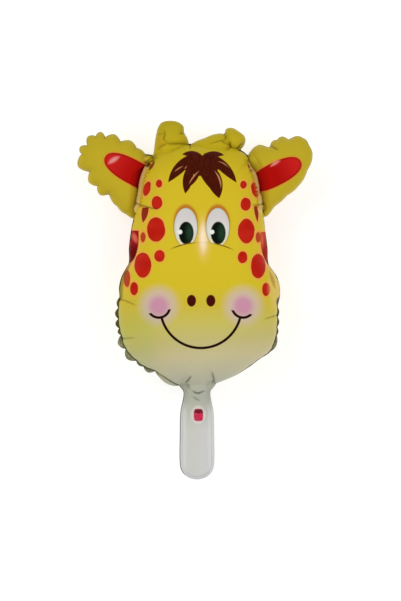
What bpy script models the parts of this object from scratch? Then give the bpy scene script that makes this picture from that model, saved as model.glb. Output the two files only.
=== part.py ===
"""A giraffe-head foil balloon, inflated and lying on its back with its face up.

Metres, +Z up, +Y towards the horns, -Y towards the filler tail. The balloon is two foil sheets
welded along a flat rim, so each lobe (head, ears, horns, neck, tail) is drawn as the outline of
its flat sheet and then inflated. The lobes are drawn in a frame with its origin at the chin, and
the finished balloon is moved to stand on Z = 0 under the middle of its bounding box.
"""

import math

import bmesh
import bpy
import numpy as np
from mathutils.geometry import delaunay_2d_cdt

# Head, from the bottom of the chin to the crown and across the jowls
HEAD_HEIGHT = 0.244
HEAD_WIDTH = 0.164
HEAD_THICKNESS = 0.094

# Ears, each from the point where its axis leaves the head
EAR_THICKNESS = 0.036
LEFT_EAR_LENGTH = 0.0751
LEFT_EAR_ANGLE = 153.1
RIGHT_EAR_LENGTH = 0.0677
RIGHT_EAR_ANGLE = 31.1

# Horns, from their bases just inside the crown
LEFT_HORN_HEIGHT = 0.038
RIGHT_HORN_HEIGHT = 0.025
HORN_THICKNESS = 0.026
KNOB_WIDTH = 0.0226
KNOB_HEIGHT = 0.0246

# Filler tail below the chin, with the inflated neck above it
TAIL_LENGTH = 0.0925
TAIL_WIDTH = 0.0345
TAIL_END_HEIGHT = 0.0155
TAIL_THICKNESS = 0.0075
TAIL_OFFSET = -0.002
TAIL_SHOULDER_BELOW_CHIN = 0.025
TAIL_SHOULDER_TAPER = 0.0006
NECK_WIDTH = 0.027
NECK_LENGTH = 0.034
NECK_THICKNESS = 0.028
NECK_CENTRE_ABOVE_CHIN = 0.0105
NECK_WAIST_BELOW_CHIN = 0.005
CHIN_FLARE = 0.0055
CHIN_FLARE_ABOVE_CHIN = 0.004
TAIL_ROOT_ABOVE_CHIN = 0.026

# Welded rim and the places where the balloon is flat
RIM_WIDTH = 0.0026
RIM_THICKNESS = 0.0010
FLAT_SPOT_DEPTH = 0.0016
TAIL_FLAT_SHARE = 0.86

# Valve tab on the tail's face
VALVE_WIDTH = 0.0088
VALVE_LENGTH = 0.0118
VALVE_THICKNESS = 0.0007
VALVE_CORNER = 0.0022
VALVE_FROM_END = 0.0647
VALVE_OFFSET = 0.0015
RESTING_GAP = 0.0003

# Spacing of the points along the rim, along the weld and inside the sheet
RIM_SPACING = 0.0034
WELD_SPACING = 0.0048
SHEET_SPACING = 0.0074
# Rings of points just inside the weld, where the foil climbs steeply
STEEP_RINGS = (0.0013, 0.0042)

# How sharply two lobes meet: a higher power makes a tighter groove
GROOVE_POWER = 7
# Depth of a full pucker of the rim, and its shape between two pinches: 1 is a point, 2 a round bow
PUCKER_DEPTH = 0.005
PUCKER_ROUNDNESS = 1.7

# Each side of the head from the chin up: height share, half-width share, share of a full pucker to the next point
HEAD_LEFT = [
    (0.004, 0.24, 0.8), (0.063, 0.54, 0.7), (0.082, 0.68, 0.3), (0.106, 0.77, 1),
    (0.155, 0.90, 1), (0.212, 0.96, 0.4), (0.240, 0.98, 0.6), (0.279, 0.99, 0.6),
    (0.324, 0.99, 0.4), (0.369, 0.975, 0), (0.410, 0.98, 0), (0.453, 0.95, 0),
    (0.485, 0.90, 0), (0.512, 0.86, 0), (0.570, 0.86, 0), (0.650, 0.83, 0),
    (0.710, 0.79, 0), (0.770, 0.755, 0), (0.840, 0.73, 0), (0.910, 0.64, 0),
    (0.965, 0.50, 0), (0.990, 0.32, 0),
]
HEAD_RIGHT = [
    (0.012, 0.19, 0), (0.045, 0.44, 0), (0.082, 0.62, 0), (0.115, 0.75, 0),
    (0.143, 0.87, 0.5), (0.212, 0.955, 0.2), (0.246, 0.96, 0.3), (0.287, 0.965, 0.3),
    (0.328, 0.965, 0), (0.369, 0.99, 0), (0.410, 0.99, 0), (0.453, 0.955, 0),
    (0.480, 0.90, 0), (0.508, 0.85, 0), (0.570, 0.84, 0), (0.650, 0.81, 0),
    (0.710, 0.79, 0), (0.770, 0.765, 0), (0.840, 0.75, 0), (0.910, 0.68, 0),
    (0.965, 0.55, 0), (0.990, 0.35, 0),
]

# Ears: share of the ear's length along its axis and across it, share of a full pucker to the next point
LEFT_EAR = [
    (0.09, -0.30, 0), (0.19, -0.37, 0.2), (0.34, -0.40, 0.84), (0.57, -0.38, 1),
    (0.78, -0.34, 1.1), (0.90, -0.29, 1.1), (0.95, -0.13, 0.9), (0.96, 0.01, 1.5),
    (0.76, 0.18, 1), (0.58, 0.30, 1.1), (0.39, 0.33, 0.3), (0.22, 0.42, 0.16),
    (0.07, 0.46, 0), (-0.05, 0.46, 0), (-0.18, 0.24, 0), (-0.16, -0.10, 0),
]
RIGHT_EAR = [
    (-0.17, 0.09, 0), (-0.22, -0.21, 0), (-0.10, -0.46, 0), (0.12, -0.40, 0.16),
    (0.34, -0.36, 0.1), (0.54, -0.33, 0.16), (0.79, -0.20, 0.08), (0.97, -0.05, 0.08),
    (1.01, 0.15, 0.08), (0.92, 0.30, 0.4), (0.79, 0.35, 0.2), (0.64, 0.43, 0.5),
    (0.49, 0.40, 0.3), (0.36, 0.51, 0.5), (0.14, 0.45, 0), (0.04, 0.35, 0),
]

# Horns: shares of the horn's height across and up from its base
LEFT_HORN = [
    (-0.50, -0.05), (-0.49, 0.21), (-0.45, 0.53), (-0.38, 0.82), (-0.26, 0.96), (-0.03, 1.00),
    (0.18, 0.96), (0.32, 0.84), (0.34, 0.68), (0.42, 0.53), (0.47, 0.32), (0.42, 0.00), (0.00, -0.21),
]
RIGHT_HORN = [
    (-1.04, 0.48), (-0.80, 0.68), (-0.40, 0.84), (-0.04, 0.98), (0.32, 1.00), (0.60, 0.80),
    (0.72, 0.32), (0.40, -0.08), (-0.40, -0.16), (-0.92, 0.08),
]

# Places on the head, as shares of its width and height
LEFT_EAR_ROOT = (-0.323, 0.824)
RIGHT_EAR_ROOT = (0.341, 0.820)
LEFT_HORN_BASE = (-0.165, 0.939)
RIGHT_HORN_BASE = (0.098, 0.939)
KNOB_CENTRE = (0.218, 1.015)

# Colours as printed, in linear values
YELLOW = (0.62, 0.44, 0.03, 1.0)
VALVE_RED = (0.55, 0.02, 0.06, 1.0)


def clear_scene():
    for old in list(bpy.data.objects):
        bpy.data.objects.remove(old)


def finish_material(name, colour, roughness, metallic):
    material = bpy.data.materials.new(name)
    material.use_nodes = True
    shader = material.node_tree.nodes["Principled BSDF"]
    shader.inputs["Base Color"].default_value = colour
    shader.inputs["Roughness"].default_value = roughness
    shader.inputs["Metallic"].default_value = metallic
    return material


def counter_clockwise(knots):
    """The knots, each a point with a pucker, in the order that keeps the lobe on the left."""
    points = np.array([knot[:2] for knot in knots])
    ahead = np.roll(points, -1, axis=0)
    area = (points[:, 0] * ahead[:, 1] - points[:, 1] * ahead[:, 0]).sum()
    if area > 0:
        return knots
    # A pucker belongs to the stretch after its point, so it moves back by one when the order turns
    turned = knots[::-1]
    return [(x, y, turned[(i + 1) % len(turned)][2]) for i, (x, y, _) in enumerate(turned)]


def closed_curve(knots, spacing):
    """Points along a smooth closed curve through the knots, with the pucker depth at each point."""
    points = np.array([knot[:2] for knot in knots])
    count = len(points)
    curve, depths = [], []
    for i in range(count):
        before, start, end, after = (points[(i + k) % count] for k in (-1, 0, 1, 2))
        chord = np.linalg.norm(end - start)
        leaving = (end - before) * chord / (np.linalg.norm(start - before) + chord)
        arriving = (after - start) * chord / (np.linalg.norm(after - end) + chord)
        steps = max(1, round(chord / spacing))
        for t in np.arange(steps) / steps:
            curve.append(
                (2 * t**3 - 3 * t**2 + 1) * start
                + (t**3 - 2 * t**2 + t) * leaving
                + (3 * t**2 - 2 * t**3) * end
                + (t**3 - t**2) * arriving
            )
            depths.append(PUCKER_DEPTH * knots[i][2] * (1 - abs(2 * t - 1) ** PUCKER_ROUNDNESS))
    return np.array(curve), np.array(depths)


def outward(curve):
    """The outward normal at each point of a closed counter-clockwise curve."""
    along = np.roll(curve, -1, axis=0) - np.roll(curve, 1, axis=0)
    across = np.stack([along[:, 1], -along[:, 0]], axis=1)
    return across / np.linalg.norm(across, axis=1, keepdims=True)


def outlines(knots):
    """A lobe's puckered cut edge, the weld line inside it and the rings of points inside that."""
    knots = counter_clockwise(knots)
    curve, depths = closed_curve(knots, RIM_SPACING)
    cut = curve + outward(curve) * depths[:, None]
    curve, _ = closed_curve(knots, WELD_SPACING)
    weld = curve - outward(curve) * RIM_WIDTH
    rings = [weld - outward(curve) * inset for inset in STEEP_RINGS]
    return cut, weld, np.concatenate(rings)


def placed(shares, origin, angle, length):
    """Knots given as shares of a length along and across an axis, put in the chin's frame."""
    c, s = math.cos(math.radians(angle)), math.sin(math.radians(angle))
    knots = []
    for along, across, *pucker in shares:
        x, y = along * length, across * length
        depth = pucker[0] if pucker else 0.0
        knots.append((origin[0] + x * c - y * s, origin[1] + x * s + y * c, depth))
    return knots


def on_head(shares):
    return shares[0] * HEAD_WIDTH, shares[1] * HEAD_HEIGHT


def ellipse(centre, width, height, count=14):
    turns = [2 * math.pi * i / count for i in range(count)]
    return [
        (centre[0] + width / 2 * math.cos(a), centre[1] + height / 2 * math.sin(a), 0.0) for a in turns
    ]


def head_knots():
    half = HEAD_WIDTH / 2
    left = [(-side * half, up * HEAD_HEIGHT, pucker) for up, side, pucker in HEAD_LEFT]
    right = [(side * half, up * HEAD_HEIGHT, pucker) for up, side, pucker in HEAD_RIGHT]
    # Down the left side the stretch after a point is the one listed before it
    down = [(x, y, left[i - 1][2] if i else 0.0) for i, (x, y, _) in enumerate(left)][::-1]
    return [(0.0, 0.0, 0.0), *right, (0.0, HEAD_HEIGHT, 0.0), *down]


def tail_knots():
    """The tail from its round end up its sides, in at the neck and out again under the chin."""
    half, neck = TAIL_WIDTH / 2, NECK_WIDTH / 2
    end = -TAIL_LENGTH
    right = [
        (half, end + TAIL_END_HEIGHT),
        (half, end / 2),
        (half - TAIL_SHOULDER_TAPER, -TAIL_SHOULDER_BELOW_CHIN),
        (neck, -NECK_WAIST_BELOW_CHIN),
        (neck + CHIN_FLARE, CHIN_FLARE_ABOVE_CHIN),
        (neck, TAIL_ROOT_ABOVE_CHIN),
    ]
    round_end = [
        (half * math.sin(a), end + TAIL_END_HEIGHT * (1 - math.cos(a)))
        for a in np.radians([-60, -30, 0, 30, 60])
    ]
    left = [(-x, y) for x, y in right[::-1]]
    return [(x + TAIL_OFFSET, y, 0.0) for x, y in [*round_end, *right, *left]]


def lobes():
    """Each lobe's name, knots and full thickness."""
    neck_centre = (TAIL_OFFSET, NECK_CENTRE_ABOVE_CHIN)
    return [
        ("head", head_knots(), HEAD_THICKNESS),
        ("left ear", placed(LEFT_EAR, on_head(LEFT_EAR_ROOT), LEFT_EAR_ANGLE, LEFT_EAR_LENGTH), EAR_THICKNESS),
        ("right ear", placed(RIGHT_EAR, on_head(RIGHT_EAR_ROOT), RIGHT_EAR_ANGLE, RIGHT_EAR_LENGTH), EAR_THICKNESS),
        ("left horn", placed(LEFT_HORN, on_head(LEFT_HORN_BASE), 0, LEFT_HORN_HEIGHT), HORN_THICKNESS),
        ("right horn", placed(RIGHT_HORN, on_head(RIGHT_HORN_BASE), 0, RIGHT_HORN_HEIGHT), HORN_THICKNESS),
        ("horn knob", ellipse(on_head(KNOB_CENTRE), KNOB_WIDTH, KNOB_HEIGHT), HORN_THICKNESS),
        ("neck", ellipse(neck_centre, NECK_WIDTH, NECK_LENGTH), NECK_THICKNESS),
        ("tail", tail_knots(), TAIL_THICKNESS),
    ]


def inside(points, polygon):
    """Whether each point is inside a closed polygon."""
    x, y = points[:, :1], points[:, 1:]
    ahead = np.roll(polygon, -1, axis=0)
    crosses = (polygon[:, 1] > y) != (ahead[:, 1] > y)
    rise = np.where(ahead[:, 1] == polygon[:, 1], 1.0, ahead[:, 1] - polygon[:, 1])
    at = polygon[:, 0] + (y - polygon[:, 1]) * (ahead[:, 0] - polygon[:, 0]) / rise
    return (crosses & (x < at)).sum(axis=1) % 2 == 1


def distance(points, polygon):
    """The distance from each point to the edge of a closed polygon."""
    step = np.roll(polygon, -1, axis=0) - polygon
    away = points[:, None] - polygon
    share = np.clip((away * step).sum(axis=2) / (step**2).sum(axis=1), 0, 1)
    return np.linalg.norm(away - share[..., None] * step, axis=2).min(axis=1)


def well_apart(points, spacing):
    """The points that keep a spacing from all those kept before them."""
    kept = points[:1]
    for point in points[1:]:
        if np.linalg.norm(kept - point, axis=1).min() > spacing:
            kept = np.concatenate([kept, [point]])
    return kept


def sheet_mesh(cuts, welds, rings):
    """One flat sheet over all lobes: its points, its triangles, and which welded lobes hold each triangle."""
    loops = [*cuts, *welds]
    low = np.min([loop.min(axis=0) for loop in loops], axis=0)
    high = np.max([loop.max(axis=0) for loop in loops], axis=0)
    row = SHEET_SPACING * math.sqrt(3) / 2
    grid = [
        (low[0] + (i + (j % 2) / 2) * SHEET_SPACING, low[1] + j * row)
        for j in range(int((high[1] - low[1]) / row) + 1)
        for i in range(int((high[0] - low[0]) / SHEET_SPACING) + 1)
    ]
    grid = np.array(grid)
    covered = np.any([inside(grid, cut) for cut in cuts], axis=0)
    clear = np.min([distance(grid, loop) for loop in loops], axis=0) > SHEET_SPACING * 0.45
    rings = np.concatenate(rings)
    welded = np.any([inside(rings, weld) for weld in welds], axis=0)
    off_lines = np.min([distance(rings, loop) for loop in loops], axis=0) > min(STEEP_RINGS) * 0.8
    rings = well_apart(rings[welded & off_lines], min(STEEP_RINGS) * 1.6)
    grid = grid[covered & clear]
    off_rings = np.linalg.norm(grid[:, None] - rings, axis=2).min(axis=1) > SHEET_SPACING * 0.45
    points = np.concatenate([*loops, rings, grid[off_rings]])
    faces, first = [], 0
    for loop in loops:
        faces.append(list(range(first, first + len(loop))))
        first += len(loop)
    found = delaunay_2d_cdt([tuple(p) for p in points], [], faces, 1, 1e-6, True)
    sheet = np.array([tuple(p) for p in found[0]])
    covers = [(triangle, held) for triangle, held in zip(found[2], found[5]) if held]
    triangles = np.array([triangle for triangle, _ in covers])
    holders = [{face - len(cuts) for face in held if face >= len(cuts)} for _, held in covers]
    used = np.unique(triangles)
    renumbered = np.full(len(sheet), -1)
    renumbered[used] = np.arange(len(used))
    return sheet[used], renumbered[triangles], holders


def membrane(points, triangles):
    """How high pressure lifts each point of a film held along the edge of these triangles, from 0 to 1."""
    corners = points[triangles]
    weights, ends = [], []
    for k in range(3):
        a, b = corners[:, (k + 1) % 3] - corners[:, k], corners[:, (k + 2) % 3] - corners[:, k]
        doubled = np.abs(a[:, 0] * b[:, 1] - a[:, 1] * b[:, 0])
        weights.append((a * b).sum(axis=1) / np.maximum(doubled, 1e-12) / 2)
        ends.append(triangles[:, [(k + 1) % 3, (k + 2) % 3]])
    weights, ends = np.concatenate(weights), np.concatenate(ends)
    count = len(points)
    load = np.bincount(triangles.ravel(), np.repeat(doubled / 6, 3), count)
    edge, uses = np.unique(np.sort(ends, axis=1), axis=0, return_counts=True)
    free = load > 0
    free[np.unique(edge[uses == 1])] = False

    def pull(lift):
        flow = weights * (lift[ends[:, 0]] - lift[ends[:, 1]])
        return np.bincount(ends[:, 0], flow, count) - np.bincount(ends[:, 1], flow, count)

    lift = np.zeros(count)
    rest = load * free
    step, size = rest.copy(), rest @ rest
    while size > 1e-24:
        answer = pull(step) * free
        share = size / (step @ answer)
        lift += share * step
        rest -= share * answer
        last, size = size, rest @ rest
        step = rest + size / last * step
    return lift / lift.max()


def foil_profile(lift):
    """The profile of an inflated foil disc, nearly flat in the middle, from the membrane's lift."""
    radius = np.linspace(0, 1, 2001)[:-1] + 0.00025
    fall = np.cumsum(radius**2 / np.sqrt(1 - radius**4))
    return 1 - np.interp(np.sqrt(1 - np.clip(lift, 0, 1)), radius, fall / fall[-1])


def sheet_heights(sheet, triangles, holders, thicknesses):
    """How far the inflated sheet stands off the weld plane at each point."""
    powers = np.zeros(len(sheet))
    for number, thickness in enumerate(thicknesses):
        held = np.array([number in holder for holder in holders])
        height = thickness / 2 * foil_profile(membrane(sheet, triangles[held]))
        if thickness == TAIL_THICKNESS:
            height = np.minimum(height, TAIL_FLAT_SHARE * thickness / 2)
        powers += height**GROOVE_POWER
    return powers ** (1 / GROOVE_POWER)


def inflated_envelope(material):
    """The balloon: the flat sheet extruded into a front and a back, each then raised off the weld plane."""
    shapes = lobes()
    cuts, welds, rings = zip(*(outlines(knots) for _, knots, _ in shapes))
    sheet, triangles, holders = sheet_mesh(cuts, welds, rings)
    heights = sheet_heights(sheet, triangles, holders, [thickness for _, _, thickness in shapes])
    middle = (sheet.min(axis=0) + sheet.max(axis=0)) / 2
    weld_z = heights.max() + RIM_THICKNESS / 2 - FLAT_SPOT_DEPTH

    bm = bmesh.new()
    number = bm.verts.layers.int.new("sheet_point")
    for i, (x, y) in enumerate(sheet - middle):
        bm.verts.new((x, y, weld_z))[number] = i
    bm.verts.ensure_lookup_table()
    back = [bm.faces.new([bm.verts[i] for i in triangle]) for triangle in triangles]
    bmesh.ops.recalc_face_normals(bm, faces=back)
    if back[0].normal.z < 0:
        bmesh.ops.reverse_faces(bm, faces=back)
    extruded = bmesh.ops.extrude_face_region(bm, geom=back)
    front = {v for v in extruded["geom"] if isinstance(v, bmesh.types.BMVert)}
    for vertex in bm.verts:
        stand = RIM_THICKNESS / 2 + heights[vertex[number]]
        vertex.co.z = weld_z + stand if vertex in front else max(weld_z - stand, 0.0)
    bmesh.ops.recalc_face_normals(bm, faces=bm.faces)

    mesh = bpy.data.meshes.new("foil_envelope")
    bm.to_mesh(mesh)
    bm.free()
    mesh.shade_smooth()
    mesh.materials.append(material)
    envelope = bpy.data.objects.new("foil_envelope", mesh)
    bpy.context.collection.objects.link(envelope)
    return envelope, middle, weld_z


def valve_tab(material, middle, weld_z):
    """The red end of the self-sealing valve, a thin plate with round corners on the tail's flat face."""
    bm = bmesh.new()
    corner_x, corner_y = VALVE_WIDTH / 2 - VALVE_CORNER, VALVE_LENGTH / 2 - VALVE_CORNER
    outline = []
    for quarter, (sx, sy) in enumerate([(1, 1), (-1, 1), (-1, -1), (1, -1)]):
        for k in range(6):
            a = math.pi / 2 * (quarter + k / 5)
            x = sx * corner_x + VALVE_CORNER * math.cos(a)
            y = sy * corner_y + VALVE_CORNER * math.sin(a)
            outline.append(bm.verts.new((x, y, 0.0)))
    base = bm.faces.new(outline)
    raised = bmesh.ops.extrude_face_region(bm, geom=[base])
    for vertex in raised["geom"]:
        if isinstance(vertex, bmesh.types.BMVert):
            vertex.co.z = VALVE_THICKNESS
    bmesh.ops.recalc_face_normals(bm, faces=bm.faces)
    mesh = bpy.data.meshes.new("valve_tab")
    bm.to_mesh(mesh)
    bm.free()
    mesh.materials.append(material)
    tab = bpy.data.objects.new("valve_tab", mesh)
    face_z = weld_z + RIM_THICKNESS / 2 + TAIL_FLAT_SHARE * TAIL_THICKNESS / 2
    x = TAIL_OFFSET + VALVE_OFFSET - middle[0]
    y = VALVE_FROM_END - TAIL_LENGTH - middle[1]
    tab.location = (x, y, face_z + RESTING_GAP)
    bpy.context.collection.objects.link(tab)


def main():
    clear_scene()
    foil = finish_material("printed_foil", YELLOW, 0.35, 0.4)
    film = finish_material("valve_film", VALVE_RED, 0.3, 0.0)
    _, middle, weld_z = inflated_envelope(foil)
    valve_tab(film, middle, weld_z)


main()
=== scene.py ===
"""The giraffe-head foil balloon dressed as it looks: finely puckered, printed foil and its valve."""

import math

import bpy
import numpy as np
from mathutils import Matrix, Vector, noise
from mathutils.geometry import delaunay_2d_cdt
from mathutils.kdtree import KDTree


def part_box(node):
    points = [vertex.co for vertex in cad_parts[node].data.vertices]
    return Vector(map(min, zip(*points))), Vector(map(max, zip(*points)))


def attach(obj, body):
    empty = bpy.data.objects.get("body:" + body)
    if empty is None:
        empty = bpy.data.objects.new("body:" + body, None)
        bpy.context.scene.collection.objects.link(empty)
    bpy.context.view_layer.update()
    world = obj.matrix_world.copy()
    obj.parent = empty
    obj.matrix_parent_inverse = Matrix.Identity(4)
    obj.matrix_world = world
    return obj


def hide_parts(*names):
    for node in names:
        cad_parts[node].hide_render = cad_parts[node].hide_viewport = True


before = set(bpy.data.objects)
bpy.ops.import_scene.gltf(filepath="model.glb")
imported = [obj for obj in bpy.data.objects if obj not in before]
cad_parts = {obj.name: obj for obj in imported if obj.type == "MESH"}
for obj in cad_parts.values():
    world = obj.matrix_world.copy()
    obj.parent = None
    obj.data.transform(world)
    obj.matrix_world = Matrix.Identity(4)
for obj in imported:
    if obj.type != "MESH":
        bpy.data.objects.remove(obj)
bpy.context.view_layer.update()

MM = 0.001

# The part's own sizes, as the solids have them
HEAD_HEIGHT = 0.244
HEAD_WIDTH = 0.164
HEAD_THICKNESS = 0.094
EAR_THICKNESS = 0.036
LEFT_EAR_LENGTH = 0.0751
LEFT_EAR_ANGLE = 153.1
RIGHT_EAR_LENGTH = 0.0677
RIGHT_EAR_ANGLE = 31.1
LEFT_HORN_HEIGHT = 0.038
RIGHT_HORN_HEIGHT = 0.025
HORN_THICKNESS = 0.026
KNOB_WIDTH = 0.0226
KNOB_HEIGHT = 0.0246
KNOB_THICKNESS = 0.022
TAIL_LENGTH = 0.0925
TAIL_WIDTH = 0.0345
TAIL_END_HEIGHT = 0.0155
TAIL_THICKNESS = 0.0075
TAIL_FLAT_SHARE = 0.86
TAIL_SHOULDER = (-0.0006, -0.025)
TAIL_OFFSET = -0.002
NECK_WIDTH = 0.027
NECK_THICKNESS = 0.028
NECK_LENGTH = 0.064
NECK_LEVEL = -0.001
NECK_NARROWER = 0.002
RIM_WIDTH = 0.0026
WELD_Z = 0.0459
PUCKER_DEPTH = 0.005
PUCKER_ROUNDNESS = 1.7

# Where the chin of the head's outline is in the frame, and where the photograph's corner would be
CHIN = np.array([0.00403, -0.08731])
CORNER = np.array([-0.19497, 0.2997])

# The camera looks straight down from this far above the weld, on to the middle of the photograph
CAMERA_AWAY = 3.0
IMAGE_MIDDLE = (200.5, 300.5)
IMAGE_HEIGHT = 0.601

# The visual's own fineness
EDGE_STEP = 0.0013
SHEET_STEP = 0.0019
RINGS = np.array([0.10, 0.38, 0.80, 1.35, 2.05, 2.95, 4.0, 5.3, 6.8]) * MM
HEM = 0.0004
FILM = 0.00018
WELD_INSET = 0.0019
PINCH_REACH = 0.011
PINCH_TOP = 0.1437
PINCH_SHARE = 0.72
JOIN_POWER = 9
SOFT_POWER = 3
ROWS = np.array([0, 0.55, -0.55, 1.2, -1.2, 2.1, -2.1]) * MM
SEAM_WIDTH = 1.2 * MM
OVERHANG_REACH = 3.0 * MM

# The back is pressed nearly flat below the first height, and never lies lower than the second
FLAT_REACH = 1.2 * MM
LOWEST = 0.0002

# Each side of the head from the chin up: height share, half-width share, share of a full pucker
HEAD_LEFT = [
    (0.004, 0.24, 0.8), (0.063, 0.54, 0.7), (0.082, 0.68, 0.3), (0.106, 0.77, 1),
    (0.155, 0.90, 1), (0.212, 0.96, 0.4), (0.240, 0.98, 0.6), (0.279, 0.99, 0.6),
    (0.324, 0.99, 0.4), (0.369, 0.975, 0), (0.410, 0.98, 0), (0.453, 0.95, 0),
    (0.485, 0.90, 0), (0.512, 0.86, 0), (0.570, 0.86, 0), (0.650, 0.83, 0),
    (0.710, 0.79, 0), (0.770, 0.755, 0), (0.840, 0.73, 0), (0.910, 0.64, 0),
    (0.965, 0.50, 0), (0.990, 0.32, 0),
]
HEAD_RIGHT = [
    (0.012, 0.19, 0), (0.045, 0.44, 0), (0.082, 0.62, 0), (0.115, 0.75, 0),
    (0.143, 0.87, 0.5), (0.212, 0.955, 0.2), (0.246, 0.96, 0.3), (0.287, 0.965, 0.3),
    (0.328, 0.965, 0), (0.369, 0.99, 0), (0.410, 0.99, 0), (0.453, 0.955, 0),
    (0.480, 0.90, 0), (0.508, 0.85, 0), (0.570, 0.84, 0), (0.650, 0.81, 0),
    (0.710, 0.79, 0), (0.770, 0.765, 0), (0.840, 0.75, 0), (0.910, 0.68, 0),
    (0.965, 0.55, 0), (0.990, 0.35, 0),
]
LEFT_EAR = [
    (0.09, -0.30, 0), (0.19, -0.37, 0.2), (0.34, -0.40, 0.84), (0.57, -0.38, 1),
    (0.78, -0.34, 0.85), (0.90, -0.29, 1.0), (0.95, -0.13, 0.9), (0.96, 0.01, 1.5),
    (0.76, 0.18, 1), (0.58, 0.30, 1.1), (0.39, 0.33, 0.3), (0.22, 0.42, 0.16),
    (0.07, 0.46, 0), (-0.05, 0.46, 0), (-0.18, 0.24, 0), (-0.16, -0.10, 0),
]
RIGHT_EAR = [
    (-0.17, 0.09, 0), (-0.22, -0.21, 0), (-0.10, -0.46, 0), (0.12, -0.40, 0.16),
    (0.34, -0.36, 0.1), (0.54, -0.33, 0.16), (0.79, -0.20, 0.08), (0.97, -0.05, 0.08),
    (1.01, 0.12, 0.08), (0.99, 0.25, 0.45), (0.79, 0.35, 0.6), (0.64, 0.43, 0.5),
    (0.49, 0.40, 0.1), (0.36, 0.51, 0.1), (0.14, 0.45, 0), (0.04, 0.35, 0),
]
LEFT_HORN = [
    (-0.50, -0.05), (-0.49, 0.21), (-0.45, 0.53), (-0.38, 0.82), (-0.26, 0.96), (-0.03, 1.00),
    (0.18, 0.96), (0.32, 0.84), (0.34, 0.68), (0.42, 0.53), (0.47, 0.32), (0.42, 0.00), (0.00, -0.21),
]
RIGHT_HORN = [
    (-1.04, 0.48), (-0.80, 0.68), (-0.40, 0.84), (-0.04, 0.98), (0.32, 1.00), (0.60, 0.80),
    (0.72, 0.32), (0.40, -0.08), (-0.40, -0.16), (-0.92, 0.08),
]
LEFT_EAR_ROOT = (-0.323, 0.824)
RIGHT_EAR_ROOT = (0.341, 0.820)
LEFT_HORN_BASE = (-0.165, 0.939)
RIGHT_HORN_BASE = (0.098, 0.939)
KNOB_CENTRE = (0.218, 1.015)
KNOB = [
    (-0.84, 0.84), (-0.51, 1.00), (-0.07, 0.97), (0.46, 0.66), (0.89, 0.33), (1.02, -0.01), (0.91, -0.46),
    (0.60, -0.83), (0.11, -0.99), (-0.51, -0.80), (-0.91, -0.30), (-0.97, 0.27),
]

# The film between the left ear and its horn, which closes the bottom of the notch there
WEB_CENTRE = (-0.318, 0.929)
WEB_WIDTH = 0.023
WEB_HEIGHT = 0.014
WEB_THICKNESS = 0.012


def counter_clockwise(knots):
    points = np.array([knot[:2] for knot in knots])
    ahead = np.roll(points, -1, axis=0)
    if (points[:, 0] * ahead[:, 1] - points[:, 1] * ahead[:, 0]).sum() > 0:
        return knots
    turned = knots[::-1]
    return [(x, y, turned[(i + 1) % len(turned)][2]) for i, (x, y, _) in enumerate(turned)]


def closed_curve(knots, spacing):
    """Points along a smooth closed curve, the pucker at each, and the place of each knot in it."""
    points = np.array([knot[:2] for knot in knots])
    count = len(points)
    curve, depths, starts = [], [], []
    for i in range(count):
        before, start, end, after = (points[(i + k) % count] for k in (-1, 0, 1, 2))
        chord = np.linalg.norm(end - start)
        leaving = (end - before) * chord / (np.linalg.norm(start - before) + chord)
        arriving = (after - start) * chord / (np.linalg.norm(after - end) + chord)
        steps = max(2, round(chord / spacing))
        starts.append(len(curve))
        for t in np.arange(steps) / steps:
            curve.append(
                (2 * t**3 - 3 * t**2 + 1) * start
                + (t**3 - 2 * t**2 + t) * leaving
                + (3 * t**2 - 2 * t**3) * end
                + (t**3 - t**2) * arriving
            )
            depths.append(PUCKER_DEPTH * knots[i][2] * (1 - abs(2 * t - 1) ** PUCKER_ROUNDNESS))
    return np.array(curve), np.array(depths), starts


def outward(curve):
    along = np.roll(curve, -1, axis=0) - np.roll(curve, 1, axis=0)
    across = np.stack([along[:, 1], -along[:, 0]], axis=1)
    return across / np.linalg.norm(across, axis=1, keepdims=True)


def placed(shares, origin, angle, length):
    c, s = math.cos(math.radians(angle)), math.sin(math.radians(angle))
    knots = []
    for along, across, *pucker in shares:
        x, y = along * length, across * length
        depth = pucker[0] if pucker else 0.0
        knots.append((origin[0] + x * c - y * s, origin[1] + x * s + y * c, depth))
    return knots


def on_head(shares):
    return shares[0] * HEAD_WIDTH, shares[1] * HEAD_HEIGHT


def ellipse_knots(centre, width, height, count=14):
    turns = [2 * math.pi * i / count for i in range(count)]
    return [
        (centre[0] + width / 2 * math.cos(a), centre[1] + height / 2 * math.sin(a), 0.0) for a in turns
    ]


def knob_knots():
    x, y = on_head(KNOB_CENTRE)
    return [(x + across * KNOB_WIDTH / 2, y + up * KNOB_HEIGHT / 2, 0.0) for across, up in KNOB]


def head_knots():
    half = HEAD_WIDTH / 2
    left = [(-side * half, up * HEAD_HEIGHT, pucker) for up, side, pucker in HEAD_LEFT]
    right = [(side * half, up * HEAD_HEIGHT, pucker) for up, side, pucker in HEAD_RIGHT]
    down = [(x, y, left[i - 1][2] if i else 0.0) for i, (x, y, _) in enumerate(left)][::-1]
    return [(0.0, 0.0, 0.0), *right, (0.0, HEAD_HEIGHT, 0.0), *down]


def tail_knots():
    half, neck = TAIL_WIDTH / 2, NECK_WIDTH / 2
    end = -TAIL_LENGTH
    shoulder = (half + TAIL_SHOULDER[0], TAIL_SHOULDER[1])
    right = [(half, end + TAIL_END_HEIGHT), (half, end / 2), shoulder, (neck, -0.005)]
    right += [(neck + 0.0055, 0.004), (neck, 0.026)]
    round_end = [
        (half * math.sin(a), end + TAIL_END_HEIGHT * (1 - math.cos(a)))
        for a in np.radians([-60, -30, 0, 30, 60])
    ]
    left = [(-x, y) for x, y in right[::-1]]
    return [(x + TAIL_OFFSET, y, 0.0) for x, y in [*round_end, *right, *left]]


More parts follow.
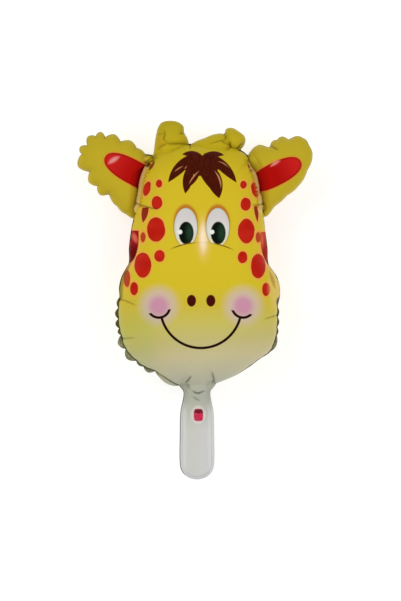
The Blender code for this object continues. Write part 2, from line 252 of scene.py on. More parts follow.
left_ear = placed(LEFT_EAR, on_head(LEFT_EAR_ROOT), LEFT_EAR_ANGLE, LEFT_EAR_LENGTH)
right_ear = placed(RIGHT_EAR, on_head(RIGHT_EAR_ROOT), RIGHT_EAR_ANGLE, RIGHT_EAR_LENGTH)
left_horn = placed(LEFT_HORN, on_head(LEFT_HORN_BASE), 0, LEFT_HORN_HEIGHT)
right_horn = placed(RIGHT_HORN, on_head(RIGHT_HORN_BASE), 0, RIGHT_HORN_HEIGHT)
web = ellipse_knots(on_head(WEB_CENTRE), WEB_WIDTH, WEB_HEIGHT)
neck = ellipse_knots((TAIL_OFFSET, NECK_LEVEL), NECK_WIDTH - NECK_NARROWER, NECK_LENGTH)

# Each lobe: knots, thickness, how far its weld follows the puckers, how far it bulges over its rim,
# and the climb at which it bulges most
LOBES = [
    (head_knots(), HEAD_THICKNESS, 0.0, 2.3 * MM, 10 * MM),
    (left_ear, EAR_THICKNESS, 0.85, 0.9 * MM, 5 * MM),
    (right_ear, EAR_THICKNESS, 0.85, 1.2 * MM, 5 * MM),
    (left_horn, HORN_THICKNESS, 0.0, 1.4 * MM, 4 * MM),
    (right_horn, HORN_THICKNESS, 0.0, 1.4 * MM, 4 * MM),
    (knob_knots(), KNOB_THICKNESS, 0.0, 1.4 * MM, 4 * MM),
    (web, WEB_THICKNESS, 0.0, 0.0, 4 * MM),
    (neck, NECK_THICKNESS, 0.0, 0.0, 4 * MM),
    (tail_knots(), TAIL_THICKNESS, 0.0, 0.0, 3 * MM),
]
HEAD, LEFT_EAR_LOBE, RIGHT_EAR_LOBE, LEFT_HORN_LOBE, RIGHT_HORN_LOBE, KNOB_LOBE = range(6)
WEB_LOBE, NECK_LOBE, TAIL_LOBE = range(6, 9)

# Where two lobes meet in a valley: the upper, the lower, the valley's depth and the upper's overhang
SEAMS = [
    (HEAD, LEFT_EAR_LOBE, 1.0 * MM, 3.0 * MM), (HEAD, RIGHT_EAR_LOBE, 1.0 * MM, 2.4 * MM),
    (HEAD, LEFT_HORN_LOBE, 0.7 * MM, 0.5 * MM), (HEAD, RIGHT_HORN_LOBE, 0.8 * MM, 0.5 * MM),
    (HEAD, KNOB_LOBE, 0.4 * MM, 0.0),
]


def inside(points, polygon):
    """Whether each point is inside a closed polygon."""
    result = np.zeros(len(points), bool)
    low, high = polygon.min(axis=0), polygon.max(axis=0)
    near = np.flatnonzero(np.all((points >= low) & (points <= high), axis=1))
    ahead = np.roll(polygon, -1, axis=0)
    rise = np.where(ahead[:, 1] == polygon[:, 1], 1.0, ahead[:, 1] - polygon[:, 1])
    for part in np.array_split(near, max(1, len(near) // 2000)):
        x, y = points[part, :1], points[part, 1:]
        crosses = (polygon[:, 1] > y) != (ahead[:, 1] > y)
        at = polygon[:, 0] + (y - polygon[:, 1]) * (ahead[:, 0] - polygon[:, 0]) / rise
        result[part] = (crosses & (x < at)).sum(axis=1) % 2 == 1
    return result


def in_any(points, loops):
    return np.any([inside(points, loop) for loop in loops], axis=0)


def tree_of(points):
    tree = KDTree(len(points))
    for i, (x, y) in enumerate(points):
        tree.insert((x, y, 0.0), i)
    tree.balance()
    return tree


def nearest(tree, points):
    found = [tree.find((x, y, 0.0)) for x, y in points]
    return np.array([f[1] for f in found]), np.array([f[2] for f in found])


def lobe_loops():
    """The cut and weld loops of every lobe, with the outward normals and pinches of each weld loop."""
    cuts, welds, normals, pinches = [], [], [], []
    for knots, _, follow, _, _ in LOBES:
        knots = counter_clockwise(knots)
        curve, depths, starts = closed_curve(knots, EDGE_STEP)
        curve = curve + CHIN
        normal = outward(curve)
        cuts.append(curve + normal * depths[:, None])
        inset = WELD_INSET if follow else RIM_WIDTH
        welds.append(curve + normal * (follow * depths - inset)[:, None])
        normals.append(normal)
        pairs = zip(starts, knots, knots[-1:] + knots[:-1])
        pinches.append([start for start, knot, last in pairs if knot[2] or last[2]])
    return cuts, welds, normals, pinches


def well_apart(points, placed_already, gap):
    """The points that keep the gap to those placed already and to each other."""
    _, apart = nearest(tree_of(np.concatenate(placed_already)), points)
    points = points[apart > gap]
    cells, chosen = {}, []
    for i, (x, y) in enumerate(points):
        column, line = int(x // gap), int(y // gap)
        around = [cells.get((column + a, line + b)) for a in (-1, 0, 1) for b in (-1, 0, 1)]
        if all(j is None or math.hypot(*(points[j] - points[i])) > gap for j in around):
            cells[column, line] = i
            chosen.append(i)
    return points[chosen]


def edge_of(welds, normals, pinches):
    """The outer weld of all lobes: its points, normals and lobes, and their places along each weld."""
    rows = {"at": [], "normal": [], "lobe": [], "along": []}
    for k, weld in enumerate(welds):
        free = ~in_any(weld, welds[:k] + welds[k + 1:])
        along = np.concatenate([[0], np.cumsum(np.linalg.norm(np.diff(weld, axis=0), axis=1))])
        for name, values in zip(rows, (weld, normals[k], np.full(len(weld), k), along)):
            rows[name].append(values[free])
        pinches[k] = [along[i] for i in pinches[k] if free[i]]
    edge = {name: np.concatenate(values) for name, values in rows.items()}
    edge["pinches"] = pinches
    edge["length"] = [np.linalg.norm(np.roll(weld, -1, axis=0) - weld, axis=1).sum() for weld in welds]
    return edge


def fine_points(loops, welds, normals, edge, lines):
    """Points in rings just inside the welds, in one just outside, and in rows along the lines."""
    loop_tree = tree_of(np.concatenate(loops))
    outer_tree = tree_of(edge["at"])
    kept = []
    for inset in RINGS:
        ring = np.concatenate([weld - normal * inset for weld, normal in zip(welds, normals)])
        _, away = nearest(outer_tree, ring)
        _, clear = nearest(loop_tree, ring)
        ring = ring[in_any(ring, welds) & (away < inset * 1.25 + 0.5 * MM) & (clear > inset * 0.8)]
        if kept:
            _, apart = nearest(tree_of(np.concatenate(kept)), ring)
            ring = ring[apart > 0.22 * MM + 0.05 * inset]
        kept.append(ring)
    hem = np.concatenate([weld + normal * HEM for weld, normal in zip(welds, normals)])
    _, clear = nearest(loop_tree, hem)
    kept.append(hem[~in_any(hem, welds) & (clear > HEM * 0.8)])
    for line, across in lines:
        for offset in ROWS:
            row = line + across * offset
            _, clear = nearest(loop_tree, row)
            row = well_apart(row[in_any(row, welds) & (clear > 0.35 * MM)], kept, 0.5 * MM)
            if len(row):
                kept.append(row)
    return np.concatenate(kept)


def sheet_grid(outline, cuts, fine):
    """Points in even triangles over the rest of the sheet."""
    low, high = outline.min(axis=0), outline.max(axis=0)
    row = SHEET_STEP * math.sqrt(3) / 2
    columns, rows = (int(reach) + 1 for reach in (high - low) / (SHEET_STEP, row))
    i, j = np.meshgrid(np.arange(columns), np.arange(rows))
    grid = np.stack([low[0] + (i + (j % 2) / 2) * SHEET_STEP, low[1] + j * row], axis=-1).reshape(-1, 2)
    grid = grid[in_any(grid, cuts)]
    _, clear = nearest(tree_of(np.concatenate([outline, fine])), grid)
    return grid[clear > SHEET_STEP * 0.55]


def flat_sheet(lines):
    """The flat sheet over all lobes, fine along the welds and the given lines, and its outer weld's data.

    A line is its points and the direction across it at each.
    """
    cuts, welds, normals, pinches = lobe_loops()
    edge = edge_of(welds, normals, pinches)
    loops = [*cuts, *welds]
    outline = np.concatenate(loops)
    fine = fine_points(loops, welds, normals, edge, lines)
    points = np.concatenate([outline, fine, sheet_grid(outline, cuts, fine)])
    faces, first = [], 0
    for loop in loops:
        faces.append(list(range(first, first + len(loop))))
        first += len(loop)
    found = delaunay_2d_cdt([tuple(p) for p in points], [], faces, 1, 1e-6, True)
    sheet = np.array([tuple(p) for p in found[0]])
    covers = [(triangle, held) for triangle, held in zip(found[2], found[5]) if held]
    triangles = np.array([triangle for triangle, _ in covers])
    holders = np.zeros((len(triangles), len(welds)), bool)
    for row_number, (_, held) in enumerate(covers):
        for face in held:
            if face >= len(cuts):
                holders[row_number, face - len(cuts)] = True
    used = np.unique(triangles)
    renumbered = np.full(len(sheet), -1)
    renumbered[used] = np.arange(len(used))
    return sheet[used], renumbered[triangles], holders, edge


def membrane(points, triangles):
    """How high pressure lifts each point of a film held along the edge of these triangles, from 0 to 1."""
    used, local = np.unique(triangles, return_inverse=True)
    local = local.reshape(-1, 3)
    corners = points[triangles]
    weights, ends = [], []
    for k in range(3):
        a, b = corners[:, (k + 1) % 3] - corners[:, k], corners[:, (k + 2) % 3] - corners[:, k]
        doubled = np.abs(a[:, 0] * b[:, 1] - a[:, 1] * b[:, 0])
        weights.append((a * b).sum(axis=1) / np.maximum(doubled, 1e-12) / 2)
        ends.append(local[:, [(k + 1) % 3, (k + 2) % 3]])
    weights, ends = np.concatenate(weights), np.concatenate(ends)
    count = len(used)
    load = np.bincount(local.ravel(), np.repeat(doubled / 6, 3), count)
    key = np.sort(ends, axis=1)
    order = np.lexsort((key[:, 1], key[:, 0]))
    key, weights = key[order], weights[order]
    fresh = np.concatenate([[True], np.any(key[1:] != key[:-1], axis=1)])
    group = np.cumsum(fresh) - 1
    pair = key[fresh]
    weight = np.bincount(group, weights)
    uses = np.bincount(group)
    free = load > 0
    free[np.unique(pair[uses == 1])] = False
    start, end = pair[:, 0], pair[:, 1]
    diagonal = np.bincount(start, weight, count) + np.bincount(end, weight, count)
    scale = np.where(free, 1 / np.maximum(diagonal, 1e-9), 0)

    def pull(lift):
        flow = weight * (lift[start] - lift[end])
        return np.bincount(start, flow, count) - np.bincount(end, flow, count)

    lift = np.zeros(count)
    rest = load * free
    eased = rest * scale
    step, size = eased.copy(), rest @ eased
    first = size
    while size > first * 1e-11:
        answer = pull(step) * free
        share = size / (step @ answer)
        lift += share * step
        rest -= share * answer
        eased = rest * scale
        last, size = size, rest @ eased
        step = eased + size / last * step
    whole = np.zeros(len(points))
    whole[used] = lift / lift.max()
    return whole


def foil_profile(lift):
    """The profile of an inflated foil disc, nearly flat in the middle, from the membrane's lift."""
    radius = np.linspace(0, 1, 4001)[:-1] + 0.000125
    fall = np.cumsum(radius**2 / np.sqrt(1 - radius**4))
    return 1 - np.interp(np.sqrt(1 - np.clip(lift, 0, 1)), radius, fall / fall[-1])


def slopes(sheet, triangles, values):
    """The slope of a value at each point of the sheet."""
    a, b, c = (sheet[triangles[:, k]] for k in range(3))
    va, vb, vc = (values[triangles[:, k]] for k in range(3))
    u, v = b - a, c - a
    doubled = u[:, 0] * v[:, 1] - u[:, 1] * v[:, 0]
    east = (vb - va) * v[:, 1] - (vc - va) * u[:, 1]
    north = (vc - va) * u[:, 0] - (vb - va) * v[:, 0]
    total = np.zeros((len(sheet), 3))
    for k in range(3):
        for column, part in enumerate((east * np.sign(doubled), north * np.sign(doubled), np.abs(doubled))):
            total[:, column] += np.bincount(triangles[:, k], part, len(sheet))
    return total[:, :2] / np.maximum(total[:, 2:], 1e-15)


def seam_places(sheet, triangles, heights, seam):
    """How far each point is from a seam, positive on its upper lobe, the way to the lower, the strength."""
    upper, lower = seam[:2]
    difference = heights[upper] - heights[lower]
    slope = slopes(sheet, triangles, difference)
    steep = np.maximum(np.linalg.norm(slope, axis=1), 0.15)
    others = np.delete(heights, [upper, lower], axis=0).max(axis=0)
    both = np.minimum(heights[upper], heights[lower])
    strength = smooth((heights[lower] - 0.6 * MM) / (2.0 * MM)) * smooth((both - others) / (2 * MM) + 1)
    return difference / steep, -slope / steep[:, None], strength


def seam_lines(sheet, triangles, heights):
    """The points of each seam on the sheet and the direction across it."""
    ends = np.concatenate([triangles[:, [0, 1]], triangles[:, [1, 2]], triangles[:, [2, 0]]])
    ends = np.unique(np.sort(ends, axis=1), axis=0)
    lines = []
    for seam in SEAMS:
        away, across, strength = seam_places(sheet, triangles, heights, seam)
        a, b = ends.T
        crossing = (away[a] * away[b] < 0) & (np.minimum(strength[a], strength[b]) > 0.02)
        a, b = a[crossing], b[crossing]
        share = (away[a] / (away[a] - away[b]))[:, None]
        lines.append((sheet[a] + share * (sheet[b] - sheet[a]), across[a]))
    return lines


def crease_lines():
    """The points along each crease and the direction across it."""
    lines = []
    for line, _, _, _ in CREASES:
        line = np.array([at_pixel(*p) for p in line])
        for a, b in zip(line[:-1], line[1:]):
            length = np.linalg.norm(b - a)
            shares = np.arange(0.2 * MM, length, 0.7 * MM)[:, None] / length
            across = np.array([-(b - a)[1], (b - a)[0]]) / length
            lines.append((a + shares * (b - a), np.tile(across, (len(shares), 1))))
    return lines


def lobe_heights(sheet, triangles, holders):
    heights = []
    for k, (_, thickness, _, _, _) in enumerate(LOBES):
        height = thickness / 2 * foil_profile(membrane(sheet, triangles[holders[:, k]]))
        if k == TAIL_LOBE:
            height = np.minimum(height, TAIL_FLAT_SHARE * thickness / 2)
        if k == NECK_LOBE:
            height = height * smooth((sheet[:, 1] - CHIN[1] + 24 * MM) / (32 * MM))
        heights.append(height)
    heights = np.array(heights)
    # An ear is pinched in where it comes out from under the head
    head_weld = lobe_loops()[1][HEAD]
    _, away = nearest(tree_of(head_weld), sheet)
    away = np.where(inside(sheet, head_weld), -away, away)
    pinch = smooth((PINCH_REACH - away) / PINCH_REACH) * smooth((PINCH_TOP - sheet[:, 1]) / (16 * MM))
    heights[[LEFT_EAR_LOBE, RIGHT_EAR_LOBE]] *= 1 - PINCH_SHARE * pinch
    return heights


def joined(heights, power):
    """Lobes' heights run together, smoothly where they cross."""
    return (np.array(heights) ** power).sum(axis=0) ** (1 / power)


def at_pixel(x, y):
    """A place in the frame from a place in the photograph, a millimetre to the pixel."""
    return np.array([x * MM, -y * MM]) + CORNER


def smooth(x):
    x = np.clip(x, 0, 1)
    return x * x * (3 - 2 * x)


def rough(points, scale, seed):
    """Smooth noise from -1 to 1 at each point."""
    return np.array([noise.noise(Vector((*(p / scale), seed * 7.13))) for p in points])


# Creases of the front, as pixels of the photograph: points, depth and half-width in millimetres, and the
# darkness of the painted shade at the bottom
CREASES = [
    ([(138, 203), (143.5, 206.4), (148, 208), (159, 210.5)], 1.6, 1.6, 0.75),
    ([(251, 205.5), (256, 205.8), (261, 204)], 1.3, 1.4, 0.6),
    ([(257, 207), (265, 215)], 1.2, 1.3, 0.3),
    ([(128.5, 263.5), (132, 262.5), (136, 260)], 1.0, 1.6, 0.25),
    ([(268.8, 264), (266, 263), (262, 260)], 1.0, 1.6, 0.2),
    ([(118, 299), (127, 301), (137, 305.5)], 1.1, 1.5, 0.55),
    ([(120, 338), (127, 338), (136, 337.5)], 1.0, 1.5, 0.45),
    ([(279, 313.5), (272, 316), (263, 319)], 1.0, 1.5, 0.55),
    ([(191.2, 375.5), (188.5, 380), (185, 383.6)], 1.3, 1.3, 0.8),
    ([(211.5, 370), (213, 376), (213.4, 383)], 1.3, 1.3, 0.75),
    ([(192.3, 390.8), (195.5, 392.8), (199, 393.3), (204.2, 390.8)], 0.9, 0.9, 1.0),
    ([(192.5, 396.5), (197, 399.5), (199.5, 400.8)], 0.5, 0.9, 0.5),
    ([(187.5, 383), (188.6, 386.5), (190.2, 389.2)], 0.5, 0.9, 0.35),
    ([(158, 152), (160, 147.5), (166, 144.6), (168.5, 141.5)], 1.9, 1.2, 0.35),
    ([(164, 130.5), (165.2, 135), (163.6, 139), (166, 143.6)], 1.5, 1.2, 0.6),
    ([(166, 144.4), (173, 144.6), (181, 144.2), (190, 145)], 3.2, 1.6, 0.55),
    ([(158, 136.5), (161, 134.5), (165, 133.8)], 1.2, 1.2, 0.2),
    ([(185.5, 134.4), (182, 133.6), (179, 134.6)], 1.5, 1.1, 0.5),
    ([(190, 144.5), (190.4, 148), (190, 152)], 1.0, 1.0, 0.5),
    ([(209, 144.6), (215, 143), (222, 141), (226, 143), (232, 147.6)], 1.6, 1.3, 0.45),
    ([(224.3, 129), (224.6, 133), (224, 137)], 1.6, 1.2, 0.45),
    ([(236, 150), (239.5, 146), (243.6, 142)], 2.2, 1.1, 0.65),
    ([(237, 151.4), (241, 152.6), (245.5, 155.4), (248, 160)], 1.0, 1.0, 0.55),
    ([(268.3, 144.4), (272, 147.4), (278, 150.8)], 2.0, 1.2, 0.6),
    ([(253, 153), (257, 161), (260, 167)], 1.0, 1.8, 0.15),
    ([(154.6, 158.5), (151, 163), (150, 169.5)], 1.2, 1.3, 0.75),
    ([(158.5, 158.8), (155, 156.2), (151, 158.4), (147.5, 163.5)], 0.8, 1.0, 0.5),
    ([(248, 163), (250.5, 167), (253.2, 172.5)], 1.2, 1.3, 0.75),
]


def crease_places(places, line):
    """How far each place is from a crease, and the fading of the crease towards its ends."""
    line = np.array([at_pixel(*p) for p in line])
    lengths = np.linalg.norm(np.diff(line, axis=0), axis=1)
    passed = 0.0
    best = np.full(len(places), 1.0)
    share = np.zeros(len(places))
    for a, b, length in zip(line[:-1], line[1:], lengths):
        t = np.clip(((places - a) @ (b - a)) / length**2, 0, 1)
        away = np.linalg.norm(places - a - t[:, None] * (b - a), axis=1)
        nearer = away < best
        best = np.where(nearer, away, best)
        share = np.where(nearer, (passed + t * length) / lengths.sum(), share)
        passed += length
    return best, np.sqrt(np.clip(4 * share * (1 - share), 0, 1))


def crease_depth(places, creases):
    """How far each place is pushed in by the creases, each a sharp valley that fades at its ends."""
    total = np.zeros(len(places))
    for line, depth, width, _ in creases:
        away, fade = crease_places(places, line)
        total += depth * MM * np.exp(-((away / (width * MM)) ** 1.5)) * fade
    return total


def crease_painted_shade(places):
    """How dark the painted shade at the bottom of each crease is, where the gap closes."""
    total = np.zeros(len(places))
    for line, _, _, dark in CREASES:
        away, fade = crease_places(places, line)
        total = np.maximum(total, dark * np.exp(-((away / (0.75 * MM)) ** 2)) * fade)
    return total


def vertex_normals(points, triangles):
    a, b, c = (points[triangles[:, k]] for k in range(3))
    face = np.cross(b - a, c - a)
    normal = np.zeros_like(points)
    for k in range(3):
        for axis in range(3):
            normal[:, axis] += np.bincount(triangles[:, k], face[:, axis], len(points))
    return normal / np.maximum(np.linalg.norm(normal, axis=1, keepdims=True), 1e-15)


def run_together(sheet, triangles, heights):
    """The lobes' heights as one sheet's, and how far the upper lobes lap over the lower at the seams."""
    crest = joined(heights[[RIGHT_HORN_LOBE, KNOB_LOBE]], SOFT_POWER)
    body = joined([*heights[:RIGHT_HORN_LOBE], crest, heights[WEB_LOBE]], JOIN_POWER)
    lift = joined([body, joined(heights[NECK_LOBE:], SOFT_POWER)], SOFT_POWER)
    overhang = np.zeros_like(sheet)
    for seam in SEAMS:
        away, across, strength = seam_places(sheet, triangles, heights, seam)
        _, _, depth, over = seam
        lift -= depth * strength * np.exp(-((away / SEAM_WIDTH) ** 2))
        x = np.maximum(away, 0) / OVERHANG_REACH
        overhang += across * (over * strength * x * np.exp(1 - x))[:, None]
    return lift, overhang


def pucker_push(held, lobe, along, climb, edge, seed):
    """How far the puckers and ripples that run in from each lobe's weld push the sheet."""
    draw = np.random.default_rng(seed)
    push = np.zeros(len(held))
    for k, round_weld in enumerate(edge["length"]):
        mine = held & (lobe == k)
        if not mine.any() or k in (NECK_LOBE, TAIL_LOBE):
            continue
        marks = [(s, draw.uniform(0.7, 1.1), draw.uniform(0.8, 1.5)) for s in edge["pinches"][k]]
        place = 0.0
        step = 11 * MM if k == HEAD else 9 * MM
        while place < round_weld:
            place += step * draw.uniform(0.55, 1.35)
            marks.append((place, draw.uniform(0.2, 0.75), draw.uniform(0.5, 1.3)))
        depth = {HEAD: 1.1, LEFT_EAR_LOBE: 1.3, RIGHT_EAR_LOBE: 1.1}.get(k, 0.6) * MM
        length = {HEAD: 20, LEFT_EAR_LOBE: 13, RIGHT_EAR_LOBE: 13}.get(k, 7) * MM
        s, c = along[mine], climb[mine]
        valley = np.zeros(mine.sum())
        for place, strength, longer in marks:
            tilt = draw.normal(0, 0.12)
            apart = s - place - tilt * c
            apart = (apart + round_weld / 2) % round_weld - round_weld / 2
            width = 0.9 * MM + 0.13 * c
            fade = np.clip(1 - c / (length * longer), 0, 1) ** 1.5
            valley = np.maximum(valley, strength * fade * np.exp(-((np.abs(apart) / width) ** 1.3)))
        push[mine] -= depth * valley
        ripple = np.array([noise.noise(Vector((v / (2.6 * MM), k * 3.7, seed))) for v in s])
        push[mine] += 0.22 * MM * ripple * np.exp(-c / (7 * MM))
    return push


def tip_rim(points, rim, out, lobe, along, away, side):
    """Lays the welded rim outside the weld flat where it shows, and tipped back under the bulge elsewhere."""
    e = np.where(rim, away, 0)
    wavy = np.array([noise.noise(Vector((v / (5.5 * MM), k * 5.1, 4.4))) for v, k in zip(along, lobe)])
    tip = {HEAD: 0.55, LEFT_EAR_LOBE: 0.5, RIGHT_EAR_LOBE: 0.6, NECK_LOBE: 0.0, TAIL_LOBE: 0.0}
    lean = np.array([tip.get(k, 0.8) for k in range(len(LOBES))])[lobe]
    deep = smooth((e - 2.2 * MM) / (2.5 * MM))
    lean = lean * (1 - 0.6 * deep)
    points[:, :2] -= out * (e * (1 - np.cos(lean)))[:, None]
    sink = side * e * np.sin(lean) + side * wavy * e * 0.35 * (lobe < NECK_LOBE)
    points[:, 2] = np.where(rim, FILM * 0.6 - sink, points[:, 2])


def inflate(sheet, triangles, heights, held, edge, seed, creases, side):
    """One foil sheet lifted off the weld plane, bulged over its rim and puckered, above z = 0."""
    lift, overhang = run_together(sheet, triangles, heights)
    index, away = nearest(tree_of(edge["at"]), sheet)
    out, lobe, along = edge["normal"][index], edge["lobe"][index], edge["along"][index]
    climb = np.where(held, np.hypot(away, lift), 0.0)

    points = np.column_stack([sheet, lift + FILM * np.minimum(1, 0.2 + away / MM)])
    bulge, reach = np.array([lobe_data[3:] for lobe_data in LOBES])[lobe].T
    x = climb / reach
    points[:, :2] += out * (bulge * x * np.exp(1 - x))[:, None] + overhang

    normal = vertex_normals(points, triangles)
    push = pucker_push(held, lobe, along, climb, edge, seed)
    calm = smooth(climb / (25 * MM))
    places = sheet * np.array([side, 1.0])
    wave = rough(places, 26 * MM, seed) * 0.9 + rough(places, 11 * MM, seed + 1) * 0.35
    tail = lobe == TAIL_LOBE
    push += wave * MM * np.where(tail, 0.12, 0.75) * smooth(climb / (5 * MM)) * (1 - 0.75 * calm)
    push -= crease_depth(sheet, creases)
    points += normal * np.where(held, push, 0)[:, None]
    tip_rim(points, ~held, out, lobe, along, away, side)
    return points, climb


def pressed_flat(z):
    """The back's heights, pressed nearly flat where it lies."""
    low = FLAT_REACH * np.exp(np.minimum(z - FLAT_REACH, 0) / FLAT_REACH) * 0.25 + 0.75 * np.maximum(z, 0)
    return np.maximum(np.where(z < FLAT_REACH, low, z), LOWEST)


def seen_from_camera(points):
    """Where the camera sees each point, in pixels of the photograph."""
    middle = at_pixel(*IMAGE_MIDDLE)
    nearer = CAMERA_AWAY / (CAMERA_AWAY + WELD_Z - points[:, 2:])
    return as_pixels(middle + (points[:, :2] - middle) * nearer)


def as_pixels(places):
    return (places - CORNER) / MM * np.array([1, -1])


def envelope_faces(sheet, triangles):
    """The faces of both sheets and of the cut edge between them, and the material of each."""
    count = len(sheet)
    a, b, c = (sheet[triangles[:, k]] for k in range(3))
    turned = ((b - a)[:, 0] * (c - a)[:, 1] - (b - a)[:, 1] * (c - a)[:, 0]) < 0
    triangles[turned] = triangles[turned][:, ::-1]
    ends = np.concatenate([triangles[:, [0, 1]], triangles[:, [1, 2]], triangles[:, [2, 0]]])
    known = {(int(p), int(q)) for p, q in ends}
    rim = sorted((p, q) for p, q in known if (q, p) not in known)
    faces = [tuple(int(v) for v in t) for t in triangles]
    faces += [tuple(int(v) + count for v in t[::-1]) for t in triangles]
    faces += [(q, p, p + count, q + count) for p, q in rim]
    return faces, np.repeat([0, 1, 2], [len(triangles), len(triangles), len(rim)])


def give(mesh, name, front, back):
    """A number at each point of the front sheet and of the back."""
    attribute = mesh.attributes.new(name, "FLOAT", "POINT")
    attribute.data.foreach_set("value", np.concatenate([front, back]))


def mark_places(mesh, sheet, triangles, heights, held, edge, front, climb):
    """Writes on the mesh where each point is on the print, and how near a weld, seam or crease."""
    count = len(sheet)
    flat = as_pixels(sheet)
    places = np.concatenate([seen_from_camera(front), flat])
    attribute = mesh.attributes.new("print_place", "FLOAT_VECTOR", "POINT")
    attribute.data.foreach_set("vector", np.column_stack([places, np.zeros(2 * count)]).ravel())
    index, away = nearest(tree_of(edge["at"]), sheet)
    welded = np.where(held, -np.minimum(climb, 20 * MM), away) / MM
    lead = np.full(count, -20.0)
    for seam in SEAMS[:2]:
        away, _, _ = seam_places(sheet, triangles, heights, seam)
        lead = np.where(heights[seam[1]] > 0, np.maximum(lead, np.clip(-away / MM, -20, 20)), lead)
    # How much of the rim's colour is bare metal and painted shade, most on the head's fins
    bare_and_shade = np.array([0.85, 0.32, 0.32, 0.32, 0.32, 0.32, 0.6, 0.0, 0.0])[edge["lobe"][index]]
    # The film beside the neck is pale, with a painted shadow line where it comes out from under the chin
    film = smooth((flat[:, 0] - 153) / 12) * smooth((flat[:, 1] - 367) / 5) * (flat[:, 0] < 193)
    bare_and_shade = bare_and_shade * (1 - np.maximum(film, smooth((flat[:, 1] - 372) / 16)))
    for name, values in (("from_weld", welded), ("ear", lead), ("bare_and_shade", bare_and_shade)):
        give(mesh, name, values, values)
    for name, values in (("film", film), ("crease", crease_painted_shade(sheet))):
        give(mesh, name, values, 0 * values)


def build_envelope():
    sheet, triangles, holders, edge = flat_sheet(crease_lines())
    seams = seam_lines(sheet, triangles, lobe_heights(sheet, triangles, holders))
    sheet, triangles, holders, edge = flat_sheet(crease_lines() + seams)
    heights = lobe_heights(sheet, triangles, holders)
    held = heights.max(axis=0) > 0
    front, climb = inflate(sheet, triangles, heights, held, edge, 11, CREASES, 1)
    back, _ = inflate(sheet, triangles, heights, held, edge, 23, [], -1)
    front[:, 2] = WELD_Z + front[:, 2]
    back[:, 2] = pressed_flat(WELD_Z - back[:, 2])
    faces, slots = envelope_faces(sheet, triangles)

    mesh = bpy.data.meshes.new("printed_envelope")
    mesh.from_pydata(np.concatenate([front, back]).tolist(), [], faces)
    mesh.update()
    for material in (front_print(), back_print(), cut_edge()):
        mesh.materials.append(material)
    mesh.polygons.foreach_set("use_smooth", slots < 2)
    mesh.polygons.foreach_set("material_index", slots)
    mark_places(mesh, sheet, triangles, heights, held, edge, front, climb)
    return placed_in_scene("printed_envelope", mesh)


def placed_in_scene(name, data):
    thing = bpy.data.objects.new(name, data)
    bpy.context.collection.objects.link(thing)
    return thing


# Materials

# Shapes of the print in pixels of the photograph. A disc is its centre, half-widths and lean. A leaf is
# its two ends and how far either side bows out. A ring is its centre and radius.
BRIDGE_GLOW = (203.4, 238, 7.0, 19)
BRIDGE_CORE = (203.2, 238, 3.4, 12.2)
CHEEKS = ((158.8, 306), (243.2, 306))
# Spots at the edge, painted browner with painted shade and reflection where they turn away, and all spots
EDGE_SPOTS = [(127, 278.6, 3.2, 8.3), (142.9, 237.1, 2.5, 5), (258.1, 237.4, 2.4, 5.1)]
FRONT_SPOTS = [
    *EDGE_SPOTS,
    (159, 183.7, 3.3, 4), (147, 188.5, 3.7, 7.2, 0.21), (156.9, 202.8, 5.4, 6.6), (156.1, 229.5, 9, 12.3),
    (159.6, 255.8, 5.2, 5.9), (142.9, 265, 8.3, 12.5), (134.1, 288.6, 4, 6.7), (243.5, 184.8, 3.2, 4),
    (254.9, 189.8, 3.5, 7.3, -0.2), (245.7, 204.1, 5.1, 6.7), (246.2, 231, 8.3, 12.3),
    (242.7, 257.4, 4.8, 5.9), (258.1, 266.1, 7.2, 12.4), (266.1, 289.4, 4, 6.7),
]
SCRAPS = [(155, 161, 148.5, 171, 1.6, 1.5), (247.5, 163, 252.5, 172.5, 1.5, 1.3)]
EAR_ROOTS = [(139.5, 167.5, 150, 158.5, 1.1, 1.0), (145, 169, 151, 163, 1.2, 1.4)]
# Leaves and discs that a fold cuts flat above, each with the level of the cut
CORNERS = [((146.6, 200, 143, 222.5, 3.0, 3.4), 207.6), ((254.4, 199, 257.6, 222, 1.6, 2.0), 206.2)]
SIDE_PATCHES = [((128.5, 236, 10.2, 27), 230.6), ((270.5, 237, 10, 27), 232)]
# Painted highlights on the side patches
PATCH_PAINTED_HIGHLIGHTS = [(134.8, 237.8, 2.4, 4.6, -0.3), (262.2, 240, 1.2, 6.5)]
# The red inside of each ear: centre, turn in degrees, half-length and half-width
EAR_INSIDES = [(134.5, 172.9, 28.6, 33.4, 12.2), (275.3, 174.3, 153.0, 28.6, 11.5)]
MUZZLE = (201.2, 315, 72.6)
EYES = (185.8, 217.8)
SMILE = (200.9, 307.4, 40.6)
# The smile's ends: a ring for each, and the slope and level of the line that cuts it off
SMILE_ENDS = [((158.8, 306.6, 11), -0.204, 345.1), ((243.1, 306.6, 11), 0.221, 260.0)]
NOSTRILS = [(191.5, 300.7, 4.55, 5.9), (210.8, 300.7, 4.55, 5.9)]
LOCKS = [
    (199, 153, 168.2, 182.3, 8, 2.8), (204, 153, 236.5, 182.6, 2.3, 8), (204, 158, 182.2, 154.4, 5.2, 1.2),
    (200, 158, 224.2, 155, 1.2, 5.2), (191, 163, 185.2, 193.6, 5.1, 5), (201, 164, 190.5, 186, 1.5, 3.2),
    (208, 163, 219.2, 198.2, 6.5, 8.3), (197, 167.5, 213.2, 191.5, 1.8, 3.6),
]
CROWN = [(201.5, 165.5, 18.5, 9.8), (200.2, 168, 9.5, 8)]
HAIR_GLINTS = [
    (183, 166.3, 174.5, 171.5, 1.0, 0.2), (199, 171, 189, 184, 1.6, -0.1),
    (214.5, 171, 220.8, 188.5, -1.1, 2.9), (218.2, 161.5, 228.5, 167.5, -0.5, 1.5),
    (187, 166, 184.5, 169, 0.4, 0.4),
]
